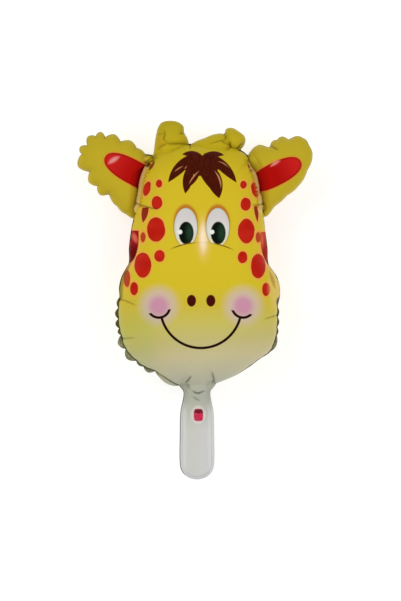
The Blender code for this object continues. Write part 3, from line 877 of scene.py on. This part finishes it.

# The ground colour down the print: level in pixels and the colour there, as the 0 to 255 of a screen. The
# darker olive at the top, over the ears and horns, is painted shade, as is the front's darker dip just under
# the chin
FRONT_GROUND = [
    (120, (178, 160, 34)), (150, (196, 174, 32)), (180, (212, 186, 40)), (240, (216, 190, 44)),
    (285, (214, 190, 42)), (305, (208, 186, 60)), (322, (203, 190, 92)), (340, (199, 188, 120)),
    (358, (203, 193, 150)), (374, (194, 190, 162)), (390, (182, 185, 170)), (402, (178, 180, 168)),
    (430, (207, 206, 204)), (480, (208, 208, 208)),
]
BACK_GROUND = [
    (120, (178, 160, 34)), (180, (208, 182, 40)), (300, (210, 186, 48)), (340, (200, 188, 116)),
    (374, (192, 187, 156)), (400, (192, 193, 182)), (480, (206, 206, 200)),
]
BACK_SPOTS = 20

# Foil printed in satin ink reflects little
FOIL_IOR = 1.13
FILM_IOR = 1.3


def linear(value):
    """One channel of a linear colour from the 0 to 255 of a screen."""
    share = value / 255
    return share / 12.92 if share <= 0.04045 else ((share + 0.055) / 1.055) ** 2.4


def colour(tone):
    """A socket, or a linear colour with its alpha, as it is; three levels of a screen as a linear colour."""
    if isinstance(tone, tuple) and len(tone) == 3:
        return (*(linear(value) for value in tone), 1.0)
    return tone


class Graph:
    """Short calls that add nodes to a material."""

    def __init__(self, name):
        self.material = bpy.data.materials.new(name)
        self.material.use_nodes = True
        self.tree = self.material.node_tree
        self.shader = self.tree.nodes["Principled BSDF"]

    def feed(self, socket, value):
        if isinstance(value, bpy.types.NodeSocket):
            self.tree.links.new(value, socket)
        else:
            socket.default_value = value

    def set(self, values):
        for name, value in values.items():
            self.feed(self.shader.inputs[name], colour(value))

    def node(self, kind, *inputs, **settings):
        """A node with these settings, and its first inputs fed in their order."""
        node = self.tree.nodes.new(kind)
        for key, value in settings.items():
            setattr(node, key, value)
        for socket, value in zip(node.inputs, inputs):
            self.feed(socket, value)
        return node

    def math(self, operation, *inputs):
        return self.node("ShaderNodeMath", *inputs, operation=operation).outputs[0]

    def chain(self, operation, first, *others):
        """One operation run through all values."""
        for other in others:
            first = self.math(operation, first, other)
        return first

    def times(self, *factors):
        return self.chain("MULTIPLY", *factors)

    def vector(self, operation, *inputs):
        node = self.node("ShaderNodeVectorMath", *inputs, operation=operation)
        return node.outputs[1 if operation in ("LENGTH", "DOT_PRODUCT", "DISTANCE") else 0]

    def blend(self, share, a, b, kind="MIX"):
        node = self.node("ShaderNodeMix", data_type="RGBA", blend_type=kind, clamp_factor=True)
        for name, value in (("Factor", share), (6, colour(a)), (7, colour(b))):
            self.feed(node.inputs[name], value)
        return node.outputs[2]

    def ramp(self, value, low, high, to_low=0.0, to_high=1.0, kind="SMOOTHSTEP"):
        inputs = (value, low, high, to_low, to_high)
        return self.node("ShaderNodeMapRange", *inputs, interpolation_type=kind).outputs[0]

    def gradient(self, value, stops):
        """A colour that runs through stops along a value."""
        low, high = stops[0][0], stops[-1][0]
        node = self.node("ShaderNodeValToRGB", self.ramp(value, low, high, kind="LINEAR"))
        elements = node.color_ramp.elements
        elements[0].color, elements[1].color = colour(stops[0][1]), colour(stops[-1][1])
        for at, tone in stops[1:-1]:
            elements.new((at - low) / (high - low)).color = colour(tone)
        return node.outputs[0]

    def attribute(self, name, output="Fac"):
        return self.node("ShaderNodeAttribute", attribute_name=name).outputs[output]

    def noise(self, vector, scale, detail=2.0, roughness=0.5, output="Fac"):
        node = self.node("ShaderNodeTexNoise")
        values = {"Vector": vector, "Scale": scale, "Detail": detail, "Roughness": roughness}
        for name, value in values.items():
            self.feed(node.inputs[name], value)
        return node.outputs[output]


class Print(Graph):
    """A print on the foil, painted in layers. A shape is a distance in pixels, negative inside it."""

    def __init__(self, name):
        super().__init__(name)
        self.place = self.attribute("print_place", "Vector")
        self.x, self.y = self.node("ShaderNodeSeparateXYZ", self.place).outputs[:2]
        self.weld = self.attribute("from_weld")
        self.past_seam = self.attribute("ear")
        self.ear = self.ramp(self.past_seam, -0.5, 0.3)
        self.tone = None

    def shaken(self, reach, detail):
        """The place, moved a little about so that shapes aren't perfect."""
        wobble = self.noise(self.place, 0.13, detail, output="Color")
        shift = self.vector("SUBTRACT", wobble, (0.5, 0.5, 0.5))
        return self.vector("ADD", self.place, self.vector("MULTIPLY", shift, (reach, reach, 0)))

    def disc(self, x, y, across, down=None, lean=0.0, place=None):
        down = down or across
        offset = self.vector("SUBTRACT", self.place if place is None else place, (x, y, 0))
        scaled = self.vector("MULTIPLY", offset, (1 / across, 1 / down, 0))
        if lean:
            leaning = self.vector("DOT_PRODUCT", offset, (1 / across, lean / across, 0))
            upright = self.vector("DOT_PRODUCT", offset, (0, 1 / down, 0))
            scaled = self.node("ShaderNodeCombineXYZ", leaning, upright).outputs[0]
        size = min(across, down)
        return self.math("MULTIPLY_ADD", self.vector("LENGTH", scaled), size, -size)

    def discs(self, shapes, place=None):
        return self.join(*(self.disc(*shape, place=place) for shape in shapes))

    def ring(self, x, y, radius):
        return self.math("SUBTRACT", self.vector("DISTANCE", self.place, (x, y, 0)), radius)

    def leaf(self, x0, y0, x1, y1, left, right):
        """The shape between two points, bounded by an arc on either side of its chord."""
        chord = math.hypot(x1 - x0, y1 - y0)
        nx, ny = -(y1 - y0) / chord, (x1 - x0) / chord
        sides = []
        for bow, sign in ((left, 1), (right, -1)):
            radius = ((chord / 2) ** 2 + bow**2) / (2 * abs(bow))
            shift = sign * (radius - abs(bow)) * (-1 if bow > 0 else 1)
            distance = self.ring((x0 + x1) / 2 + nx * shift, (y0 + y1) / 2 + ny * shift, radius)
            sides.append(distance if bow > 0 else self.times(distance, -1))
        return self.cut(*sides)

    def leaves(self, shapes):
        return self.join(*(self.leaf(*shape) for shape in shapes))

    def join(self, *distances):
        return self.chain("MINIMUM", *distances)

    def cut(self, *distances):
        return self.chain("MAXIMUM", *distances)

    def below(self, level):
        return self.math("SUBTRACT", level, self.y)

    def off_by(self, value, middle):
        return self.math("ABSOLUTE", self.math("SUBTRACT", value, middle))

    def ending(self, share, distance):
        """A shape that ends where the share rises."""
        return self.math("MULTIPLY_ADD", share, 30.0, distance)

    def within(self, distance, soft=0.35, grow=0.0, share=1.0):
        return self.ramp(distance, grow + soft, grow - soft, 0.0, share)

    def paint(self, mask, tone, kind="MIX"):
        self.tone = self.blend(mask, self.tone, tone, kind)

    def fill(self, distance, tone, share=1.0, soft=0.35, grow=0.0):
        self.paint(self.within(distance, soft, grow, share), tone)

    def side_patches(self):
        return self.join(*(self.cut(self.disc(*disc), self.below(level)) for disc, level in SIDE_PATCHES))


def foil_finish(ink, dull=None):
    """Satin gloss over metal film: its reflections take the print's colour, and dull places have few."""
    roughness = ink.ramp(ink.noise(ink.place, 0.35, 3.0), 0.3, 0.7, 0.28, 0.36)
    bump = ink.node("ShaderNodeBump")
    height = ink.noise(ink.place, 0.16, 3.0, 0.55)
    for name, value in (("Strength", 0.12), ("Distance", 0.0006), ("Height", height)):
        ink.feed(bump.inputs[name], value)
    ink.set({"Base Color": ink.tone, "Specular Tint": ink.tone, "IOR": FOIL_IOR, "Roughness": roughness})
    ink.set({"Normal": bump.outputs[0]})
    if dull is not None:
        ink.set({"Specular IOR Level": ink.ramp(dull, 0, 1, 0.5, 0.03, "LINEAR")})


def front_ground(ink):
    """Yellow running to pale film down the face, with painted shade on the ears and under the chin, a pale
    bridge between the eyes and a blush on each cheek.
    """
    left, right = ink.math("SUBTRACT", 175, ink.x), ink.math("SUBTRACT", ink.x, 200)
    level = ink.math("MULTIPLY_ADD", ink.math("MAXIMUM", left, 0), -0.3, ink.y)
    level = ink.math("MULTIPLY_ADD", ink.math("MAXIMUM", right, 0), 0.07, level)
    lower = ink.node("ShaderNodeMix", data_type="FLOAT")
    for socket, value in zip(lower.inputs[:1] + lower.inputs[2:4], (ink.ramp(ink.y, 300, 345), ink.y, level)):
        ink.feed(socket, value)
    ink.tone = ink.gradient(lower.outputs[0], FRONT_GROUND)
    # The ears painted darker olive: painted shade
    ink.paint(ink.times(ink.ear, 0.8), (190, 168, 42))
    ink.fill(ink.disc(*BRIDGE_GLOW), (240, 202, 118), 0.6, 4.5)
    ink.fill(ink.disc(*BRIDGE_CORE), (255, 232, 200), 0.92, 2.6)
    for x, y in CHEEKS:
        away = ink.vector("DISTANCE", ink.place, (x, y, 0))
        ink.paint(ink.ramp(away, 25, 11, 0, 0.85), (207, 184, 172))
        ink.paint(ink.ramp(away, 14, 5, 0, 0.9), (203, 140, 168))


def front_spots(ink, patches):
    """Red spots with a thin pale orange edge, and the darker ones on the sides and at the folds; painted
    shade and reflection make the edge spots browner, and the side patches carry painted shade and painted
    highlights.
    """
    uneven = ink.shaken(1.3, 1.0)
    edge_spots = ink.discs(EDGE_SPOTS, uneven)
    spots = ink.ending(ink.ear, ink.discs(FRONT_SPOTS, uneven))
    corners = ink.join(*(ink.cut(ink.leaf(*leaf), ink.below(level)) for leaf, level in CORNERS))
    every = ink.join(spots, patches, corners)
    ink.fill(patches, (236, 172, 100), 0.7, 1.0, 1.6)
    ink.fill(every, (238, 166, 74), 0.9, 0.5, 1.25)
    red = ink.blend(ink.ramp(ink.noise(ink.place, 0.05, 1.0), 0.35, 0.65), (186, 29, 17), (200, 38, 24))
    ink.fill(every, ink.blend(ink.within(spots, 0.5, -0.8), (168, 38, 12), red))
    # Painted shade and reflection make the edge spots browner
    ink.fill(edge_spots, (186, 72, 30), 0.75, 0.6)
    ink.fill(corners, (140, 42, 16))
    # Painted shade darkens the side patches to the left and below; painted highlights lie on them
    leftmost = ink.ramp(ink.x, 205, 195)
    dark = ink.blend(leftmost, (158, 34, 26), (104, 8, 12))
    patch_lit_red = ink.blend(leftmost, (190, 58, 40), (160, 26, 28))
    patch_shade_and_highlight = ink.blend(ink.ramp(ink.y, 252, 238), dark, patch_lit_red)
    ink.fill(patches, ink.blend(ink.within(ink.discs(PATCH_PAINTED_HIGHLIGHTS), 1.4, 0.0, 0.75), patch_shade_and_highlight, (234, 112, 88)))


def front_edges(ink):
    """What shows at the ears' roots, the folds and the cheeks' far edges, with a painted highlight along a
    fold, painted light on the right cheek's edge, and painted shade and a painted reflection on the left
    cheek's steep side; returns the steep left side.
    """
    scraps = ink.ending(ink.ear, ink.leaves(SCRAPS))
    for shape, tone, share, soft in (
        (scraps, (140, 56, 26), 1.0, 0.6),
        (ink.leaves(EAR_ROOTS), (132, 58, 26), 0.75, 0.8),
        # A painted highlight along the fold below the right ear
        (ink.leaf(257.5, 208.5, 265, 216.5, 0.8, 0.9), (240, 208, 132), 0.7, 0.6),
        (ink.disc(161, 142, 2.4, 6.5), (196, 138, 40), 0.4, 3.0),
        # Painted light along the right cheek's far edge
        (ink.disc(277, 284, 8, 24), (226, 196, 116), 0.6, 3.5),
        (ink.leaf(269.4, 271, 275, 288.5, 1.5, 1.9), (176, 124, 44), 0.65, 0.9),
        (ink.disc(280, 302.5, 3.6, 6), (84, 46, 18), 1.0, 0.6),
    ):
        ink.fill(shape, tone, share, soft)
    steep = ink.times(ink.ramp(ink.weld, -19.5, -13), ink.ramp(ink.weld, -1, -5), ink.ramp(ink.x, 205, 195))
    # Painted shade on the left cheek's steep side
    shaded = ink.times(steep, ink.ramp(ink.y, 256, 266), ink.ramp(ink.y, 301, 297, 0, 0.6))
    ink.paint(shaded, (92, 80, 20))
    # A painted reflection makes the steep side paler lower down
    ink.paint(ink.times(steep, ink.ramp(ink.y, 300, 310, 0, 0.2)), (196, 199, 160))
    greener = ink.times(ink.ramp(ink.x, 165, 145), ink.ramp(ink.y, 300, 325))
    ink.paint(greener, (0.92, 0.99, 0.98, 1), "MULTIPLY")
    return steep


def lit_seams(ink):
    """The lit edge of the head over each ear, painted as a cream highlight with a brown painted shade just
    inside it, scalloped by its stitches.
    """
    lead = ink.math("MULTIPLY_ADD", ink.math("SINE", ink.times(ink.y, 1.5)), 0.9, ink.past_seam)
    inside_weld = ink.within(ink.weld, 1.0, -2.0)
    # A cream painted highlight along the head's edge, then a band of painted shade
    for near, far, share, tone in ((0.6, 6.0, 0.75, (218, 182, 130)), (6.2, 8.8, 0.4, (166, 112, 30))):
        band = ink.cut(ink.math("MULTIPLY_ADD", lead, -1, -far), ink.math("ADD", ink.past_seam, near))
        ink.paint(ink.times(ink.within(band, 0.5, 0.0, share), inside_weld), tone)


def ear_lens(ink, along, across, long, wide, grow):
    """The fat lens of an ear's red inside."""
    ends = ink.math("POWER", ink.math("ABSOLUTE", ink.times(along, 1 / (long + grow))), 2.5)
    sides = ink.math("POWER", ink.math("ABSOLUTE", ink.times(across, 1 / (wide + grow))), 2.2)
    total = ink.math("POWER", ink.math("ADD", ends, sides), 0.45)
    return ink.ending(ink.math("SUBTRACT", 1.0, ink.ear), ink.math("MULTIPLY_ADD", total, wide, -wide))


def ear_insides(ink):
    """The red inside of the ears, darker towards the root with painted shade, and with painted highlights
    where it catches the light.
    """
    for x, y, turn, long, wide in EAR_INSIDES:
        c, s = math.cos(math.radians(turn)), math.sin(math.radians(turn))
        offset = ink.vector("SUBTRACT", ink.place, (x, y, 0))
        along = ink.vector("DOT_PRODUCT", offset, (c, s, 0))
        across = ink.vector("DOT_PRODUCT", offset, (-s, c, 0))
        edge, core, whole = (ear_lens(ink, along, across, long, wide, grow) for grow in (1.2, -1.3, 0))
        ink.fill(edge, (224, 130, 52), 0.8, 0.5)
        # Painted shade darkens the red towards the ear's root
        inner = ink.blend(ink.ramp(along, -long, 3), (202, 34, 32), (174, 16, 12))
        ink.fill(whole, ink.blend(ink.within(core, 0.6), (150, 14, 10), inner))
    # Painted highlights on the ears' red
    ink.fill(ink.leaf(108.5, 163.5, 119, 156.8, 1.6, 2.3), (238, 168, 164), 0.7, 1.8)
    ink.fill(ink.leaf(270.5, 166.5, 280, 160.8, 1.0, 2.0), (240, 158, 142), 0.65, 1.1)


def eyes(ink, muzzle):
    """Eyes with their rims and lids, cut off below by the muzzle's arc."""
    above = ink.times(muzzle, -1)
    for x in EYES:
        ink.fill(ink.cut(ink.disc(x, 226.8, 12.4, 20.1), above), (152, 108, 34), 0.75, 0.9)
        lid = ink.within(ink.cut(ink.disc(x, 225.9, 13.3, 21.6), above), 1.2)
        ink.paint(ink.times(lid, ink.ramp(ink.y, 230, 209, 0, 0.9)), (188, 110, 38))
    for x in EYES:
        white = ink.cut(ink.disc(x, 227.3, 11.5, 19.1), above)
        shade = ink.blend(ink.ramp(ink.y, 214, 238), (214, 205, 206), (230, 226, 214))
        shade = ink.blend(ink.ramp(white, -3.2, -0.4, 0, 0.7), shade, (198, 210, 196))
        shade = ink.blend(ink.ramp(ink.y, 234, 246, 0, 0.75), shade, (236, 226, 160))
        dark = ink.blend(ink.ramp(ink.disc(x + 4, 233, 4, 9), -3.5, 2.5), (38, 60, 43), (12, 22, 15))
        pupil = ink.cut(ink.disc(x + 0.4, 233, 7.5, 11.4), above)
        for shape, tone, soft in (
            (white, shade, 0.45), (pupil, dark, 0.5), (ink.disc(x - 5.8, 232, 2.3), (240, 238, 232), 0.45)
        ):
            ink.fill(shape, tone, 1.0, soft)


def face_lines(ink, muzzle):
    """Thin lines: the muzzle's arc, the smile and its ends. The nostrils too."""
    line = ink.cut(ink.math("ABSOLUTE", muzzle), ink.math("SUBTRACT", ink.y, 251))
    gap = ink.ramp(ink.off_by(ink.x, 204), 5, 15, 0.15, 1.0)
    fade = ink.times(ink.ramp(ink.x, 168, 178), ink.ramp(ink.x, 236, 226), gap)
    ink.paint(ink.times(ink.within(line, 0.5, 0.55), fade), (122, 76, 18))
    mouth = ink.cut(ink.math("ABSOLUTE", ink.ring(*SMILE)), ink.below(317.6))
    for ring, slope, level in SMILE_ENDS:
        slanted = ink.below(ink.math("MULTIPLY_ADD", ink.x, slope, level))
        mouth = ink.join(mouth, ink.cut(ink.math("ABSOLUTE", ink.ring(*ring)), slanted))
    ink.fill(mouth, (28, 4, 5), 1.0, 0.45, 1.3)
    for nostril in NOSTRILS:
        ink.fill(ink.disc(*nostril), (70, 18, 12), 1.0, 0.4)


def forelock(ink):
    """Leaf-shaped locks from the crown, with fine strands and a few glints."""
    strand = ink.ramp(ink.noise(ink.vector("MULTIPLY", ink.place, (1.0, 0.25, 0)), 0.5), 0.35, 0.7)
    hair = ink.join(ink.leaves(LOCKS), ink.discs(CROWN))
    ink.fill(hair, ink.blend(strand, (68, 19, 9), (80, 26, 13)), 1.0, 0.4)
    ink.fill(ink.leaves(HAIR_GLINTS), (206, 140, 92), 0.75, 0.4)


def tail_film(ink):
    """The tail: paler along its sides with painted light, a thin line at its weld, and clear film round the
    valve.
    """
    on_tail = ink.ramp(ink.y, 396, 412)
    # Painted light on the tail's sides
    ink.paint(ink.times(ink.ramp(ink.off_by(ink.x, 197.3), 9, 14, 0, 0.7), on_tail), (220, 221, 219))
    hem = ink.within(ink.off_by(ink.weld, 0.3), 0.35, 0.25, 0.22)
    ink.paint(ink.times(hem, on_tail), (150, 152, 146))
    ink.fill(ink.disc(198.2, 414.8, 7.0, 8.6), (240, 226, 220), 0.7, 1.6)
    ink.fill(ink.disc(198.5, 414.8, 5.2, 6.8), (240, 176, 180), 0.7, 0.9)


def painted_crease_shade(ink):
    """Painted shade at the bottoms of the creases, and a painted shadow line where the pale film comes out
    from under the chin.
    """
    ink.paint(ink.attribute("crease"), (0.15, 0.13, 0.13, 1), "MULTIPLY")
    line = ink.within(ink.off_by(ink.weld, 2.3), 0.5, 0.6, 0.8)
    ink.paint(ink.times(line, ink.attribute("film"), ink.ramp(ink.x, 187, 183)), (70, 70, 48))


def bare_rim(ink):
    """The welded rim shows metal through the print, pale on ears and horns; the head's fins are painted dark
    with painted shade, darkest at the top and next to the weld, and painted shade darkens the head's steep
    sides just inside its weld.
    """
    bare_and_shade = ink.attribute("bare_and_shade")
    on_head = ink.ramp(bare_and_shade, 0.4, 0.6)
    # Painted shade just inside the head's weld
    ink.paint(ink.times(ink.ramp(ink.weld, -7, -0.3, 0, 0.34), on_head), (66, 58, 20))
    # The head's fins painted dark as painted shade, darkest at the top and next to the weld
    streaks = ink.ramp(ink.noise(ink.place, 0.28), 0.35, 0.65)
    upper = ink.blend(streaks, (54, 58, 38), (98, 102, 72))
    lower = ink.blend(streaks, (120, 121, 92), (164, 164, 134))
    fin_shade_and_metal = ink.blend(ink.ramp(ink.y, 326, 345), upper, lower)
    fin_shade_and_metal = ink.blend(ink.ramp(ink.weld, 4.2, 1.6), fin_shade_and_metal, (40, 42, 26))
    rim = ink.times(ink.ramp(ink.weld, -0.2, 0.5), bare_and_shade)
    ink.paint(rim, ink.blend(on_head, (176, 174, 122), fin_shade_and_metal))


def front_print():
    ink = Print("front_print")
    patches = ink.side_patches()
    front_ground(ink)
    front_spots(ink, patches)
    steep = front_edges(ink)
    lit_seams(ink)
    ear_insides(ink)
    muzzle = ink.ring(*MUZZLE)
    eyes(ink, muzzle)
    face_lines(ink, muzzle)
    forelock(ink)
    tail_film(ink)
    painted_crease_shade(ink)
    bare_rim(ink)
    foil_finish(ink, ink.math("MAXIMUM", ink.within(patches), steep))
    return ink.material


def back_print():
    ink = Print("back_print")
    ink.tone = ink.gradient(ink.y, BACK_GROUND)
    draw = np.random.default_rng(5)
    chosen = []
    while len(chosen) < BACK_SPOTS:
        x, y = draw.uniform(138, 262), draw.uniform(168, 312)
        across = draw.uniform(4.5, 10)
        if all(math.hypot(x - a, y - b) > (across + c) * 1.35 + 3 for a, b, c, _ in chosen):
            chosen.append((x, y, across, across * draw.uniform(1.1, 1.4)))
    spots = ink.join(ink.discs(chosen, ink.shaken(2.5, 2.0)), ink.side_patches())
    spots = ink.ending(ink.ear, spots)
    ink.fill(spots, (232, 150, 60), 0.85, 0.4, 0.9)
    ink.fill(spots, (188, 36, 22))
    bare_rim(ink)
    foil_finish(ink)
    return ink.material


def cut_edge():
    graph = Graph("cut_edge")
    grain = graph.ramp(graph.noise(graph.attribute("print_place", "Vector"), 0.9), 0.3, 0.7)
    tone = graph.blend(grain, (186, 188, 178), (204, 206, 196))
    graph.set({"Base Color": tone, "Metallic": 0.3, "Roughness": 0.4})
    return graph.material


def valve_material():
    graph = Graph("valve_red")
    place = graph.node("ShaderNodeTexCoord").outputs["Object"]
    low, high = (corner.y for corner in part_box("valve_tab"))
    mottle = graph.ramp(graph.noise(place, 420.0), 0.35, 0.7)
    y = graph.node("ShaderNodeSeparateXYZ", place).outputs[1]
    uneven = graph.math("MULTIPLY_ADD", graph.noise(place, 500.0, 1.0), 0.005, y)
    share = graph.times(graph.math("SUBTRACT", uneven, low + 0.0025), 1 / (high - low))
    lower = graph.blend(mottle, (214, 56, 94), (190, 20, 58))
    upper = graph.blend(mottle, (132, 14, 44), (84, 2, 20))
    tone = graph.blend(graph.ramp(share, 0.58, 0.72), lower, upper)
    graph.set({"Base Color": tone, "Roughness": graph.ramp(mottle, 0, 1, 0.22, 0.34), "IOR": FILM_IOR})
    return graph.material


# The valve's film: how fine it is, how square its corners are, and its heights over the solid's underside
VALVE_RINGS = 7
VALVE_AROUND = 48
VALVE_SQUARENESS = 0.45
VALVE_UNDER = 0.00005
VALVE_OVER = 0.0003
VALVE_DOME = 0.00035
VALVE_RIPPLE = 0.00008


def valve_point(centre, half, low_z, upper, share, turn):
    """A point of the valve's film, a share of the way out from its middle."""
    x = half.x * math.copysign(abs(math.cos(turn)) ** VALVE_SQUARENESS, math.cos(turn)) * share
    y = half.y * math.copysign(abs(math.sin(turn)) ** VALVE_SQUARENESS, math.sin(turn)) * share
    z = low_z + VALVE_UNDER
    if upper:
        z = low_z + VALVE_OVER + VALVE_DOME * (1 - share**6)
        z += VALVE_RIPPLE * noise.noise(Vector((x * 900, y * 700, 3.0)))
    return centre.x + x, centre.y + y, z


def build_valve():
    """The valve's red film end: a thin round-cornered sheet with a welded border, lying on the tail."""
    low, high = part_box("valve_tab")
    centre, half = (low + high) / 2, (high - low) / 2
    turns = [2 * math.pi * (k + 0.5) / VALVE_AROUND for k in range(VALVE_AROUND)]
    per = VALVE_RINGS * VALVE_AROUND + 1
    points, faces = [], []
    for upper in (0, 1):
        for ring in range(VALVE_RINGS):
            share = 1 - ring / VALVE_RINGS
            points += [valve_point(centre, half, low.z, upper, share, turn) for turn in turns]
        points.append(valve_point(centre, half, low.z, upper, 0, turns[0]))
        for ring in range(VALVE_RINGS):
            for k in range(VALVE_AROUND):
                a, b = ring * VALVE_AROUND + k, ring * VALVE_AROUND + (k + 1) % VALVE_AROUND
                last = ring == VALVE_RINGS - 1
                face = (a, b, per - 1) if last else (a, b, b + VALVE_AROUND, a + VALVE_AROUND)
                face = tuple(v + per * upper for v in face)
                faces.append(face if upper else face[::-1])
    for a in range(VALVE_AROUND):
        b = (a + 1) % VALVE_AROUND
        faces.append((a, b, b + per, a + per))
    mesh = bpy.data.meshes.new("valve_film")
    mesh.from_pydata(points, [], faces)
    mesh.update()
    mesh.shade_smooth()
    mesh.materials.append(valve_material())
    return placed_in_scene("valve_film", mesh)


# The floor lies just below the balloon, grey enough to keep a soft shadow and lit from itself to white
FLOOR_HALF = 4
FLOOR_LEVEL = -0.0003
FLOOR_TONES = ((0.52, 0.52, 0.52, 1), (0.54, 0.54, 0.54, 1))
FLOOR_GLOW = 0.6
WORLD_LIGHT = 0.42
LIGHT_AIM = Vector((0, 0.02, 0.05))
# Each soft light: place, size and power
LIGHTS = {
    "key": ((-1.3, 0.9, 1.8), (1.4, 1.4), 20),
    "fill": ((1.5, 0.2, 1.7), (1.4, 1.4), 15),
    "front": ((0.1, -1.6, 1.6), (1.6, 1.0), 8),
}


def stage_floor():
    mesh = bpy.data.meshes.new("floor")
    corners = [(x * FLOOR_HALF, y * FLOOR_HALF, FLOOR_LEVEL) for x, y in ((-1, -1), (1, -1), (1, 1), (-1, 1))]
    mesh.from_pydata(corners, [], [(0, 1, 2, 3)])
    graph = Graph("floor_white")
    grain = graph.noise(graph.node("ShaderNodeTexCoord").outputs["Object"], 3.0)
    graph.set({"Base Color": graph.blend(grain, *FLOOR_TONES), "Roughness": 0.8})
    graph.set({"Emission Color": (1, 1, 1, 1), "Emission Strength": FLOOR_GLOW})
    mesh.materials.append(graph.material)
    floor = placed_in_scene("floor", mesh)


def softbox(name, at, size, power):
    light = bpy.data.lights.new(name, "AREA")
    light.shape = "RECTANGLE"
    light.size, light.size_y = size
    light.energy = power
    lamp = placed_in_scene(name, light)
    lamp.location = at
    lamp.rotation_mode = "QUATERNION"
    lamp.rotation_quaternion = (LIGHT_AIM - Vector(at)).to_track_quat("-Z", "Y")


def studio():
    world = bpy.data.worlds.new("studio")
    world.use_nodes = True
    background = world.node_tree.nodes["Background"]
    background.inputs[0].default_value = (1.0, 1.0, 1.0, 1)
    background.inputs[1].default_value = WORLD_LIGHT
    scene = bpy.context.scene
    scene.world = world
    scene.view_settings.view_transform = "Standard"
    for name, (at, size, power) in LIGHTS.items():
        softbox(name, at, size, power)


def camera():
    data = bpy.data.cameras.new("camera")
    data.sensor_width = 36
    data.lens = data.sensor_width * CAMERA_AWAY / IMAGE_HEIGHT
    data.clip_end = 50
    eye = placed_in_scene("camera", data)
    x, y = at_pixel(*IMAGE_MIDDLE)
    eye.location = (x, y, WELD_Z + CAMERA_AWAY)
    bpy.context.scene.camera = eye


envelope = build_envelope()
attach(envelope, "root")
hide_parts("foil_envelope")
valve = build_valve()
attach(valve, "root")
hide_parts("valve_tab")
stage_floor()
studio()
camera()
